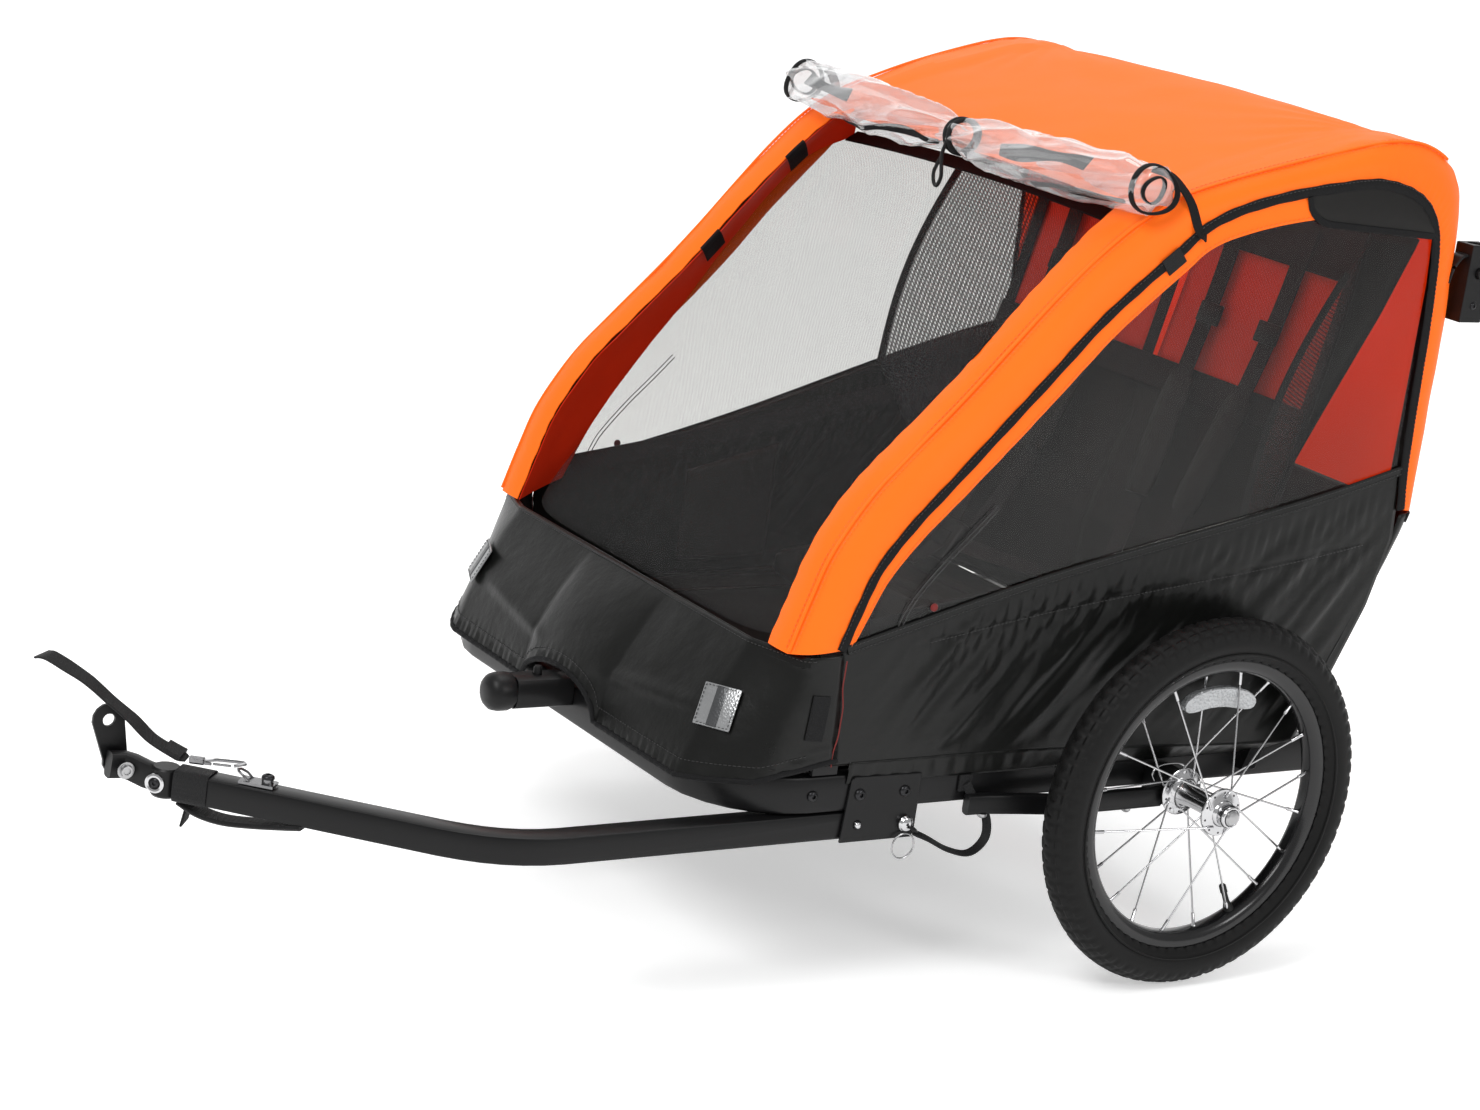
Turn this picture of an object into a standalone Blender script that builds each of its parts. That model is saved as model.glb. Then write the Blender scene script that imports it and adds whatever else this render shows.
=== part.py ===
"""Two-seat child bicycle trailer with 16 inch wheels, a folding tube frame and a side tow arm.

Metres, +Z up. The trailer faces -Y, its left side is +X, and it stands on z = 0.
Shapes are drawn with y = 0 on the axle. The root empty moves the drawing by
DESIGN_Y, so that the footprint is centred on the origin. Every moving body hangs
from an empty on its joint axis.
"""

import math

import bmesh
import bpy
from mathutils import Vector

# ---------------------------------------------------------------- dimensions
DESIGN_Y = 0.4083                   # axle line in the scene
SIDES = (("L", 1), ("R", -1))       # name suffix, sign of x

# wheels and axles
WHEEL_R = 0.200                     # outside radius of the tyre
WHEEL_X = 0.383                     # wheel centre plane
AXLE_Z = WHEEL_R
AXLE_R = 0.006
SPOKES = 20
RIM_SIDES = 32                      # facets round a wheel

# chassis rail, one U-shaped tube
RAIL_X = 0.299
RAIL_W, RAIL_H = 0.020, 0.040
RAIL_Z = 0.2115
RAIL_REAR = 0.235
FRONT_BAR_Y = -0.538
BEND_R = 0.095

# folding upper frame; pivots are (y, z)
TUBE_R = 0.009
HOOP_X = 0.294
HOOP_PIVOT = (-0.430, 0.247)
UPRIGHT_X = 0.331
CORNER_PIVOT = (0.2285, 0.8210)     # hoop to upright
SOCKET_X = (0.3220, 0.3470)         # handle socket, inner and outer face
SOCKET_BORE_Y = 0.2925
SOCKET_BUTTON_Z = 0.757

# tow arm and its bracket
ARM_X, ARM_Z = 0.2945, 0.1763
ARM_W, ARM_H = 0.028, 0.0285
ARM_PIVOT = (ARM_X, -0.327, ARM_Z)
ARM_BEND_Y = -0.775
ARM_END = (0.0745, -1.0045, 0.180)
ARM_BUTTON = (-0.385, ARM_Z + 0.002)          # y, z
PIN_HOLE_R = 0.0046
BRACKET_Y = (-0.407, -0.313)
BRACKET_T = 0.003

# hitch at the arm's end
YAW = (0.0634, -1.0161, ARM_END[2])           # swivel
EYE = (0.0300, -1.0500, 0.186)

# square front receiver
RECEIVER_Z = 0.226
RECEIVER_W = 0.034
RECEIVER_WALL = 0.003
RECEIVER_BUTTON_Y = -0.585

# canopy outline in (y, z), from the foot of the hoop over the roof to the foot
# of the rear band; the two lines share their stations
RIDGE = [
    (-.484, .355), (-.467, .408), (-.449, .455), (-.413, .510), (-.372, .554),
    (-.316, .611), (-.271, .660), (-.224, .713), (-.182, .757), (-.140, .793),
    (-.095, .820), (-.045, .838), (.010, .855), (.070, .871), (.125, .884),
    (.165, .889), (.200, .886), (.232, .873), (.253, .852), (.263, .826),
    (.268, .780), (.272, .700), (.274, .620), (.274, .550), (.272, .496)]
EDGE = [
    (-.435, .362), (-.420, .405), (-.403, .445), (-.370, .488), (-.330, .530),
    (-.275, .588), (-.228, .638), (-.181, .691), (-.140, .731), (-.104, .764),
    (-.075, .792), (-.035, .813), (.020, .830), (.075, .841), (.120, .847),
    (.153, .844), (.180, .836), (.200, .823), (.214, .803), (.221, .778),
    (.225, .745), (.229, .690), (.232, .615), (.236, .545), (.242, .500)]
ROOF_FRONT, ROOF_REAR = 10, 17      # stations of the two roof bars
CANOPY_T = 0.0025
PANEL_T = 0.0020
WINDOW_T = 0.0012

# seam between side panel and side window: y, z
SEAM = [(-0.440, 0.359), (-0.425, 0.364), (-0.200, 0.426), (0.050, 0.494), (0.238, 0.545)]
SEAM_GAP = 0.0005                   # each sheet stops this far from the seam
SIDE_INSET = 0.0006                 # side sheets lie this far inside the canopy

# wheel profiles: distance outward along the axle, radius
TYRE = [
    (-0.0088, 0.1523), (0.0088, 0.1523), (0.0092, 0.1592), (0.0180, 0.1630),
    (0.0225, 0.1770), (0.0160, 0.1935), (0.0, WHEEL_R), (-0.0160, 0.1935),
    (-0.0225, 0.1770), (-0.0180, 0.1630), (-0.0092, 0.1592)]
RIM = [
    (-0.0125, 0.1585), (-0.0105, 0.1585), (-0.0094, 0.1518), (0.0094, 0.1518),
    (0.0105, 0.1585), (0.0125, 0.1585), (0.0125, 0.1520), (0.0075, 0.1430),
    (-0.0075, 0.1430), (-0.0125, 0.1520)]
HUB = [
    (-0.0400, 0.0066), (0.0400, 0.0066), (0.0400, 0.0135), (0.0355, 0.0150),
    (0.0325, 0.0255), (0.0300, 0.0255), (0.0270, 0.0140), (-0.0270, 0.0140),
    (-0.0300, 0.0255), (-0.0325, 0.0255), (-0.0355, 0.0150), (-0.0400, 0.0135)]
SPOKE_BAND = [(-0.0035, 0.1407), (0.0035, 0.1407), (0.0035, 0.1422), (-0.0035, 0.1422)]
# rod, then a collar with a recess for the button
AXLE = [
    (-0.0732, 0.0040), (-0.0715, AXLE_R), (0.0405, AXLE_R), (0.0405, 0.0128),
    (0.0475, 0.0128), (0.0500, 0.0112), (0.0500, 0.0096), (0.0440, 0.0096),
    (0.0440, 0.0030), (0.0430, 0.0004)]
RELEASE_BUTTON = [(0.0475, 0.0088), (0.0505, 0.0088), (0.0525, 0.0070), (0.0535, 0.0035)]

# name: linear colour, roughness, metallic
MATERIALS = {
    "frame_black": ((0.018, 0.018, 0.020), 0.38, 0.0),
    "steel": ((0.62, 0.62, 0.63), 0.25, 1.0),
    "chrome": ((0.80, 0.80, 0.81), 0.10, 1.0),
    "tyre": ((0.022, 0.022, 0.023), 0.80, 0.0),
    "rim_black": ((0.015, 0.015, 0.016), 0.30, 0.2),
    "plastic_black": ((0.016, 0.016, 0.017), 0.50, 0.0),
    "orange": ((1.00, 0.19, 0.025), 0.70, 0.0),
    "nylon_black": ((0.022, 0.023, 0.022), 0.55, 0.0),
    "window": ((0.10, 0.10, 0.10), 0.10, 0.0),
    "clear_film": ((0.85, 0.86, 0.87), 0.08, 0.0),
    "webbing": ((0.020, 0.020, 0.021), 0.85, 0.0),
}


# ------------------------------------------------------------- scene objects
def add_material(name, colour, roughness, metallic):
    material = bpy.data.materials.new(name)
    material.use_nodes = True
    inputs = material.node_tree.nodes["Principled BSDF"].inputs
    inputs["Base Color"].default_value = (*colour, 1.0)
    inputs["Roughness"].default_value = roughness
    inputs["Metallic"].default_value = metallic
    material.diffuse_color = (*colour, 1.0)


JOINTS = {}     # body name: its empty, the empty's place in the drawing


def add_joint(name, place=(0, 0, 0), parent=None):
    """Empty on a body's joint axis, placed in drawing coordinates."""
    empty = bpy.data.objects.new("axis_" + name, None)
    empty.empty_display_size = 0.03
    bpy.context.scene.collection.objects.link(empty)
    if parent is None:
        empty.location = (0.0, DESIGN_Y, 0.0)
    else:
        empty.parent, parent_place = JOINTS[parent]
        empty.location = Vector(place) - parent_place
    JOINTS[name] = (empty, Vector(place))


def add_mesh(name, shape, body):
    """Closed mesh from a (vertices, faces) shape in drawing coordinates."""
    empty, place = JOINTS[body]
    mesh = bpy.data.meshes.new(name)
    bm = bmesh.new()
    vertices = [bm.verts.new(Vector(v) - place) for v in shape[0]]
    for face in shape[1]:
        bm.faces.new([vertices[i] for i in face])
    bmesh.ops.recalc_face_normals(bm, faces=bm.faces)
    bm.to_mesh(mesh)
    bm.free()
    obj = bpy.data.objects.new(name, mesh)
    obj.parent = empty
    bpy.context.scene.collection.objects.link(obj)
    return obj


def add_part(name, shape, body, material, sharp=40.0):
    """Visible part. Edges steeper than sharp degrees stay crisp."""
    obj = add_mesh(name, shape, body)
    obj.data.materials.append(bpy.data.materials[material])
    obj.data.shade_smooth()
    obj.data.set_sharp_from_angle(angle=math.radians(sharp))
    return obj


def add_boolean(obj, shape, operation):
    body = obj.parent.name.removeprefix("axis_")
    tool = add_mesh(f"tool_{obj.name}_{len(obj.modifiers)}", shape, body)
    tool.hide_render = True
    tool.display_type = "WIRE"
    modifier = obj.modifiers.new("bool", "BOOLEAN")
    modifier.operation = operation
    modifier.object = tool
    modifier.solver = "EXACT"


def cut(obj, shape):
    add_boolean(obj, shape, "DIFFERENCE")


def fuse(obj, shape):
    add_boolean(obj, shape, "UNION")


# -------------------------------------------------------------- 2-D outlines
def spread(start, end, steps):
    return [start + (end - start) * i / steps for i in range(steps + 1)]


def mix(a, b, t):
    return tuple(p + (q - p) * t for p, q in zip(a, b))


def arc(centre_x, centre_y, radius, start, end, steps):
    """Points on an arc, angles in degrees."""
    return [(centre_x + radius * math.cos(math.radians(angle)),
             centre_y + radius * math.sin(math.radians(angle)))
            for angle in spread(start, end, steps)]


def circle(radius, sides=8):
    angles = [math.pi / sides + 2 * math.pi * i / sides for i in range(sides)]
    return [(radius * math.cos(a), radius * math.sin(a)) for a in angles]


def rounded(width, height, corner, steps=2):
    """Rectangle with rounded corners, or chamfered ones for a single step."""
    x, y = width / 2 - corner, height / 2 - corner
    outline = []
    for sx, sy, start in ((1, 1, 0), (-1, 1, 90), (-1, -1, 180), (1, -1, 270)):
        outline += arc(sx * x, sy * y, corner, start, start + 90, steps)
    return outline


def flat_strap(width, thickness):
    return rounded(width, thickness, 0.0006, 1)


def interpolate(line, y):
    """z of a (y, z) line, held level past its last point."""
    for (y0, z0), (y1, z1) in zip(line, line[1:]):
        if y0 <= y <= y1:
            return z0 + (z1 - z0) * (y - y0) / (y1 - y0)
    return line[-1][1]


# ---------------------------------------------------------------- 3-D shapes
def combine(*shapes):
    vertices, faces = [], []
    for shape_vertices, shape_faces in shapes:
        first = len(vertices)
        vertices += shape_vertices
        faces += [tuple(i + first for i in face) for face in shape_faces]
    return vertices, faces


def loft(rings, closed=False):
    """Join equal rings in order. A closed loft returns to its first ring, others are capped."""
    count, size = len(rings), len(rings[0])
    vertices = [point for ring in rings for point in ring]
    faces = []
    for k in range(count if closed else count - 1):
        here, there = k * size, (k + 1) % count * size
        for i in range(size):
            j = (i + 1) % size
            faces.append((here + i, here + j, there + j, there + i))
    if not closed:
        faces.append(tuple(range(size)))
        faces.append(tuple(range((count - 1) * size, count * size)))
    return vertices, faces


def lathe(profile, centre, axis, sides, closed=False):
    """Revolve (along, radius) points. An open profile is capped at its ends."""
    axis = Vector(axis).normalized()
    across = axis.orthogonal().normalized()
    third = axis.cross(across)
    turns = [2 * math.pi * i / sides for i in range(sides)]
    rays = [math.cos(turn) * across + math.sin(turn) * third for turn in turns]
    rings = []
    for along, radius in profile:
        middle = Vector(centre) + along * axis
        rings.append([middle + radius * ray for ray in rays])
    return loft(rings, closed)


def rod(start, end, radius, sides):
    span = Vector(end) - Vector(start)
    return lathe([(0.0, radius), (span.length, radius)], start, span, sides)


def cross_rod(x0, x1, place, radius, sides):
    """Rod along x at the (y, z) place."""
    return rod((x0, *place), (x1, *place), radius, sides)


def block(x_span, y_span, z_span):
    (x0, x1), (y0, y1) = x_span, y_span
    return loft([[(x0, y0, z), (x1, y0, z), (x1, y1, z), (x0, y1, z)] for z in z_span])


def prism(outline, place, low, high):
    """Extrude an outline. place maps (p, q, depth) to a point."""
    return loft([[place(p, q, depth) for p, q in outline] for depth in (low, high)])


def yz(p, q, depth):
    return (depth, p, q)


def xz(p, q, depth):
    return (p, depth, q)


def side_span(sign, inner, outer):
    """x range on one side, in rising order."""
    return sorted((sign * inner, sign * outer))


def sweep(path, section, reference):
    """Sweep a section along a path: its x lies along tangent x reference, y along reference.

    At a bend the section is widened across the mitre.
    """
    points = [Vector(p) for p in path]
    legs = [(b - a).normalized() for a, b in zip(points, points[1:])]
    rings = []
    for point, before, after in zip(points, legs[:1] + legs, legs + legs[-1:]):
        tangent = (before + after).normalized()
        upward = Vector(reference)
        upward = (upward - upward.dot(tangent) * tangent).normalized()
        sideways = tangent.cross(upward).normalized()
        stretch = 1.0 / max(0.5, tangent.dot(before))
        turn = after - before
        if abs(turn.dot(sideways)) > abs(turn.dot(upward)):
            stretch_x, stretch_y = stretch, 1.0
        else:
            stretch_x, stretch_y = 1.0, stretch
        rings.append([point + p * stretch_x * sideways + q * stretch_y * upward
                      for p, q in section])
    return loft(rings)


def flip(rows):
    """Reverse the rows, which turns a skin's outer face over."""
    return [list(reversed(row)) for row in rows]


def skin(rows, thickness, keep=None):
    """Closed sheet from rows of points, thickened away from its outer face."""
    grid = [[Vector(p) for p in row] for row in rows]
    cells = [(i, j) for i in range(len(rows) - 1) for j in range(len(rows[0]) - 1)
             if keep is None or keep(i, j)]
    normals = {}
    for i, j in cells:
        normal = (grid[i + 1][j + 1] - grid[i][j]).cross(grid[i][j + 1] - grid[i + 1][j])
        for corner in ((i, j), (i + 1, j), (i + 1, j + 1), (i, j + 1)):
            normals[corner] = normals.get(corner, Vector((0, 0, 0))) + normal
    # each grid point gives an outer vertex, with the inner one right after it
    index, vertices = {}, []
    for (i, j), normal in normals.items():
        index[i, j] = len(vertices)
        vertices += [grid[i][j], grid[i][j] - normal.normalized() * thickness]
    faces, border = [], {}
    for i, j in cells:
        loop = [index[i, j], index[i + 1, j], index[i + 1, j + 1], index[i, j + 1]]
        faces.append(tuple(loop))
        faces.append(tuple(k + 1 for k in reversed(loop)))
        for a, b in zip(loop, loop[1:] + loop[:1]):
            if (b, a) in border:
                del border[b, a]
            else:
                border[a, b] = True
    faces += [(b, a, a + 1, b + 1) for a, b in border]
    return vertices, faces


# -------------------------------------------------------------------- joints
def add_joints():
    add_joint("root")
    add_joint("upper_frame", (0, *HOOP_PIVOT), "root")
    add_joint("rear_frame", (0, *CORNER_PIVOT), "upper_frame")
    for side, s in SIDES:
        axle = "axle_" + side
        add_joint(axle, (s * 0.330, 0, AXLE_Z), "root")
        add_joint("wheel_" + side, (s * WHEEL_X, 0, AXLE_Z), axle)
        add_joint("release_" + side, (s * (WHEEL_X + 0.045), 0, AXLE_Z), axle)
        button = (s * SOCKET_X[1], 0.292, SOCKET_BUTTON_Z)
        add_joint("socket_button_" + side, button, "rear_frame")
    add_joint("tow_arm", ARM_PIVOT, "root")
    add_joint("lock_pin", ARM_PIVOT, "root")
    add_joint("pin_ring", (0.3240, *ARM_PIVOT[1:]), "lock_pin")
    add_joint("arm_button", (0.313, *ARM_BUTTON), "root")
    add_joint("coupler", YAW, "tow_arm")
    add_joint("hitch_plate", EYE, "coupler")
    add_joint("hook_gate", (0.1007, -0.9867, 0.20765), "tow_arm")
    add_joint("receiver_plug", (0, -0.620, RECEIVER_Z), "root")
    button = (0, RECEIVER_BUTTON_Y, RECEIVER_Z + RECEIVER_W / 2)
    add_joint("receiver_button", button, "root")


# ------------------------------------------------------------------- chassis
def add_main_frame():
    """U-shaped rail with three cross tubes."""
    bend = arc(RAIL_X - BEND_R, FRONT_BAR_Y + BEND_R, BEND_R, 0, -90, 6)
    left = [(RAIL_X, RAIL_REAR)] + bend
    path = left + [(-x, y) for x, y in reversed(left)]
    section = rounded(RAIL_W, RAIL_H, 0.005)
    rail = sweep([(x, y, RAIL_Z) for x, y in path], section, (0, 0, 1))
    frame = add_part("main_frame", rail, "root", "frame_black")
    for y_span in ((-0.0125, 0.0125), (0.195, 0.220), (-0.300, -0.275)):
        fuse(frame, block((-0.297, 0.297), y_span, (0.1975, 0.2285)))


OUTRIGGER_PATH = [      # x, y
    (0.3178, -0.256), (0.3190, -0.232), (0.3270, -0.196), (0.3360, -0.160),
    (0.3397, -0.128), (0.3400, -0.090), (0.3400, -0.0188)]
HINGE_OUTLINE = [       # x, z of a channel open at the top
    (0.2765, 0.2319), (0.3080, 0.2319), (0.3080, 0.262), (0.3036, 0.262),
    (0.3036, 0.2350), (0.2845, 0.2350), (0.2845, 0.262), (0.2765, 0.262)]
LEG_OUTLINE = [(0.108, 0.205), (0.128, 0.205), (0.192, 0.378), (0.186, 0.386), (0.174, 0.382)]


def add_chassis_side(side, s):
    """Outrigger, axle receiver, hoop hinge and rear leg."""
    outrigger = sweep([(s * x, y, 0.192) for x, y in OUTRIGGER_PATH],
                      rounded(0.012, 0.022, 0.004), (0, 0, 1))
    add_part("outrigger_" + side, outrigger, "root", "frame_black")

    outline = [(y, z + 0.199) for y, z in rounded(0.0360, 0.0350, 0.006)]
    housing = prism(outline, yz, *side_span(s, 0.3096, 0.3424))
    housing = add_part("axle_receiver_" + side, housing, "root", "frame_black")
    cut(housing, cross_rod(s * 0.300, s * 0.360, (0, AXLE_Z), AXLE_R + 0.0006, 16))

    hinge = prism([(s * x, z) for x, z in HINGE_OUTLINE], xz,
                  HOOP_PIVOT[0] - 0.015, HOOP_PIVOT[0] + 0.015)
    add_part("hoop_hinge_" + side, hinge, "root", "frame_black")

    leg = prism(LEG_OUTLINE, yz, *side_span(s, 0.3096, 0.3215))
    add_part("rear_leg_" + side, leg, "root", "frame_black")


def add_tow_bracket():
    """Two plates that clamp the rail and carry the arm."""
    front, rear = BRACKET_Y
    outline = [(front + 0.004, 0.160), (rear - 0.003, 0.160), (rear, 0.166),
               (rear, 0.228), (front + 0.012, 0.229), (front + 0.008, 0.226)]
    outer = prism(outline, yz, 0.3095, 0.3095 + BRACKET_T)
    outer = add_part("tow_bracket_outer", outer, "root", "frame_black")
    cut(outer, combine(*[cross_rod(0.300, 0.320, place, PIN_HOLE_R, 12)
                         for place in (ARM_PIVOT[1:], ARM_BUTTON)]))
    inner = prism(outline, yz, 0.2772, 0.2772 + BRACKET_T)
    inner = add_part("tow_bracket_inner", inner, "root", "frame_black")
    cut(inner, cross_rod(0.270, 0.290, ARM_PIVOT[1:], PIN_HOLE_R, 12))


def receiver_bar(width, corner, front, rear):
    """Square bar along y, on the receiver's centre line."""
    outline = [(x, z + RECEIVER_Z) for x, z in rounded(width, width, corner)]
    return prism(outline, xz, front, rear)


def add_receiver():
    """Square tube for the stroller wheel, with its plug and button."""
    tube = receiver_bar(RECEIVER_W, 0.008, -0.6150, -0.5485)
    tube = add_part("receiver_tube", tube, "root", "frame_black")
    cut(tube, receiver_bar(RECEIVER_W - 2 * RECEIVER_WALL, 0.005, -0.6200, -0.5520))
    cut(tube, rod((0, RECEIVER_BUTTON_Y, 0.236), (0, RECEIVER_BUTTON_Y, 0.250), 0.0052, 12))

    cap = lathe([(0.0, 0.0090), (0.0025, 0.0150), (0.0070, 0.0190),
                 (0.0130, 0.0203), (0.0245, 0.0203), (0.0297, 0.0185)],
                (0, -0.6450, RECEIVER_Z), (0, 1, 0), 16)
    plug = add_part("receiver_plug", cap, "receiver_plug", "plastic_black")
    fuse(plug, receiver_bar(0.0264, 0.0055, -0.6162, -0.5950))

    button = lathe([(0.0, 0.0046), (0.0085, 0.0046), (0.0115, 0.0030)],
                   (0, RECEIVER_BUTTON_Y, 0.2405), (0, 0, 1), 12)
    add_part("receiver_button", button, "receiver_button", "plastic_black")


# -------------------------------------------------------------------- wheels
def spoke_rods(s, centre):
    """Slanting spokes from both hub flanges to the rim's centre plane."""
    per_flange = SPOKES // 2
    rods = []
    for flange, phase in ((1, 0.25), (-1, 0.75)):       # outer flange first
        for k in range(per_flange):
            lead = 1 if k % 2 else -1
            at_rim = 2 * math.pi * (k + phase) / per_flange
            at_hub = at_rim + lead * math.radians(33)
            # alternate spokes leave from the flange's two faces
            hub_x = 0.0356 if lead > 0 else 0.0268
            start = (s * flange * hub_x, 0.0222 * math.cos(at_hub), 0.0222 * math.sin(at_hub))
            end = (s * flange * 0.0012, 0.1418 * math.cos(at_rim), 0.1418 * math.sin(at_rim))
            rods.append(rod(centre + Vector(start), centre + Vector(end), 0.0010, 4))
    return rods


def add_wheel(side, s):
    """Tyre, rim, hub, spokes and the quick-release axle with its button."""
    centre = Vector((s * WHEEL_X, 0, AXLE_Z))
    outward = (s, 0, 0)
    for name, profile, sides, material in (
            ("tyre_", TYRE, RIM_SIDES, "tyre"),
            ("rim_", RIM, RIM_SIDES, "rim_black"),
            ("hub_", HUB, 14, "chrome"),
            ("spokes_", SPOKE_BAND, RIM_SIDES, "chrome")):
        shape = lathe(profile, centre, outward, sides, closed=True)
        part = add_part(name + side, shape, "wheel_" + side, material)
        if name == "spokes_":
            fuse(part, combine(*spoke_rods(s, centre)))
    axle = lathe(AXLE, centre, outward, 12)
    add_part("axle_" + side, axle, "axle_" + side, "chrome")
    button = lathe(RELEASE_BUTTON, centre, outward, 12)
    add_part("release_button_" + side, button, "release_" + side, "steel")


# ------------------------------------------------------------------- tow arm
BEND_POINT = Vector((ARM_X, ARM_BEND_Y, 0))
ARM_TIP = Vector((ARM_END[0], ARM_END[1], 0))
ARM_DIR = (ARM_TIP - BEND_POINT).normalized()       # along the arm's slanting front run
ARM_BACK = -ARM_DIR
ARM_SIDE = Vector((ARM_DIR.y, -ARM_DIR.x, 0))       # towards -x and +y
BEND_REACH = 0.060                                  # length of the bend on each leg


def on_arm(back, sideways, height):
    """Point by distance back from the arm's end, offset sideways and height over its top."""
    p = ARM_TIP + ARM_BACK * back + ARM_SIDE * sideways
    return (p.x, p.y, ARM_END[2] + ARM_H / 2 + height)


def add_tow_arm():
    """Square tube with a curved bend and a round boss at its pivot."""
    start = BEND_POINT + Vector((0, BEND_REACH, 0))
    end = BEND_POINT + ARM_DIR * BEND_REACH
    path = [ARM_PIVOT, (start.x, start.y, ARM_Z)]
    for i in range(1, 6):
        t = i / 6
        p = start * (1 - t) ** 2 + BEND_POINT * 2 * t * (1 - t) + end * t * t
        path.append((p.x, p.y, ARM_Z + 0.0002 * i))
    path += [(end.x, end.y, ARM_Z + 0.001), ARM_END]
    tube = sweep(path, rounded(ARM_W, ARM_H, 0.003), (0, 0, 1))
    arm = add_part("tow_arm", tube, "tow_arm", "frame_black")
    pivot, inset = ARM_PIVOT[1:], 0.0002
    fuse(arm, cross_rod(ARM_X - ARM_W / 2 + inset, ARM_X + ARM_W / 2 - inset,
                        pivot, ARM_H / 2 - inset, 20))
    cut(arm, cross_rod(0.27, 0.32, pivot, PIN_HOLE_R, 12))
    cut(arm, cross_rod(0.3020, 0.3120, ARM_BUTTON, 0.0052, 12))


def add_arm_fittings():
    """Lock pin with its ring, and the arm's button."""
    pin = lathe([(-0.0270, 0.0030), (-0.0255, 0.0042), (0.0182, 0.0042), (0.0182, 0.0078),
                 (0.0215, 0.0086), (0.0245, 0.0070), (0.0262, 0.0035)],
                ARM_PIVOT, (1, 0, 0), 16)
    add_part("lock_pin", pin, "lock_pin", "chrome")
    ring = lathe([(q, 0.0135 + p) for p, q in circle(0.0011, 6)],
                 (0.3165, ARM_PIVOT[1], 0.1527), (1, 0, 0), 20, closed=True)
    add_part("pin_ring", ring, "pin_ring", "steel")
    button = lathe([(0.0, 0.0040), (0.0045, 0.0040), (0.0064, 0.0030), (0.0072, 0.0012)],
                   (0.3092, *ARM_BUTTON), (1, 0, 0), 12)
    add_part("arm_button", button, "arm_button", "chrome")


def add_hitch():
    """Flexible coupler, eye bolt and the plate for the bicycle's axle."""
    x, y, z = EYE
    swivel = lathe([(-0.0145, 0.0125), (-0.0125, 0.0140), (0.0125, 0.0140), (0.0145, 0.0125)],
                   YAW, (0, 0, 1), 16)
    coupler = add_part("coupler", swivel, "coupler", "plastic_black")
    tongue = [YAW, (0.0500, -1.0295, 0.182), (0.0360, -1.0390, 0.185),
              (x, y + 0.0045, z), (x, y - 0.0110, z + 0.001)]
    fuse(coupler, sweep(tongue, rounded(0.0150, 0.0260, 0.004), (0, 0, 1)))
    cut(coupler, cross_rod(x - 0.03, x + 0.03, (y, z), 0.0046, 12))

    bolt = lathe([(-0.0175, 0.0038), (0.0158, 0.0038), (0.0158, 0.0083), (0.0176, 0.0086),
                  (0.0176, 0.0062), (0.0212, 0.0056), (0.0212, 0.0034), (0.0195, 0.0030)],
                 EYE, (1, 0, 0), 16)
    add_part("hitch_bolt", bolt, "coupler", "steel")

    top = (y - 0.010, z + 0.042)        # upper hole
    outline = arc(y, z, 0.0130, 170, 355, 7) + arc(*top, 0.0165, -8, 188, 8)
    plate = add_part("hitch_plate", prism(outline, yz, 0.0165, 0.0210),
                     "hitch_plate", "frame_black")
    cut(plate, combine(cross_rod(0.0, 0.03, (y, z), 0.0043, 12),
                       cross_rod(0.0, 0.03, top, 0.0062, 16)))


# paths near the arm's end: distance back, sideways, height over the arm
ANCHOR_LOOP = [
    (0.068, -0.006, 0.002), (0.062, -0.006, 0.0075), (0.056, -0.004, 0.0105),
    (0.054, 0.0, 0.0110), (0.056, 0.004, 0.0105), (0.062, 0.006, 0.0075),
    (0.068, 0.006, 0.002)]
HOOK = [
    (0.0515, -0.0060, 0.0150), (0.0575, -0.0030, 0.0165), (0.0600, 0.0010, 0.0165),
    (0.0575, 0.0055, 0.0160), (0.0500, 0.0070, 0.0150), (0.0300, 0.0070, 0.0130),
    (0.0220, 0.0030, 0.0120), (0.0195, -0.0010, 0.0120), (0.0230, -0.0050, 0.0120),
    (0.0290, -0.0065, 0.0130)]
HOOK_SHANK = [(0.0200, 0, 0.0120), (0.0130, 0, 0.0115), (0.0060, 0, 0.0110)]
HOOK_GATE = [(0.0310, -0.0066, 0.0134), (0.0400, -0.0066, 0.0141), (0.0488, -0.0064, 0.0148)]
STRAP_START = [(0.0030, 0.0, 0.0110), (-0.0060, 0.0, 0.0135)]
STRAP_END = [           # x, y, z
    (0.0540, -1.0290, 0.2190), (0.0430, -1.0460, 0.2360), (0.0330, -1.0660, 0.2530),
    (0.0220, -1.0840, 0.2690), (0.0100, -1.1010, 0.2800), (-0.0060, -1.1130, 0.2860),
    (-0.0200, -1.1160, 0.2830)]


def arm_wire(stations, radius, sides=6, reference=(0, 0, 1)):
    return sweep([on_arm(*station) for station in stations], circle(radius, sides), reference)


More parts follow.
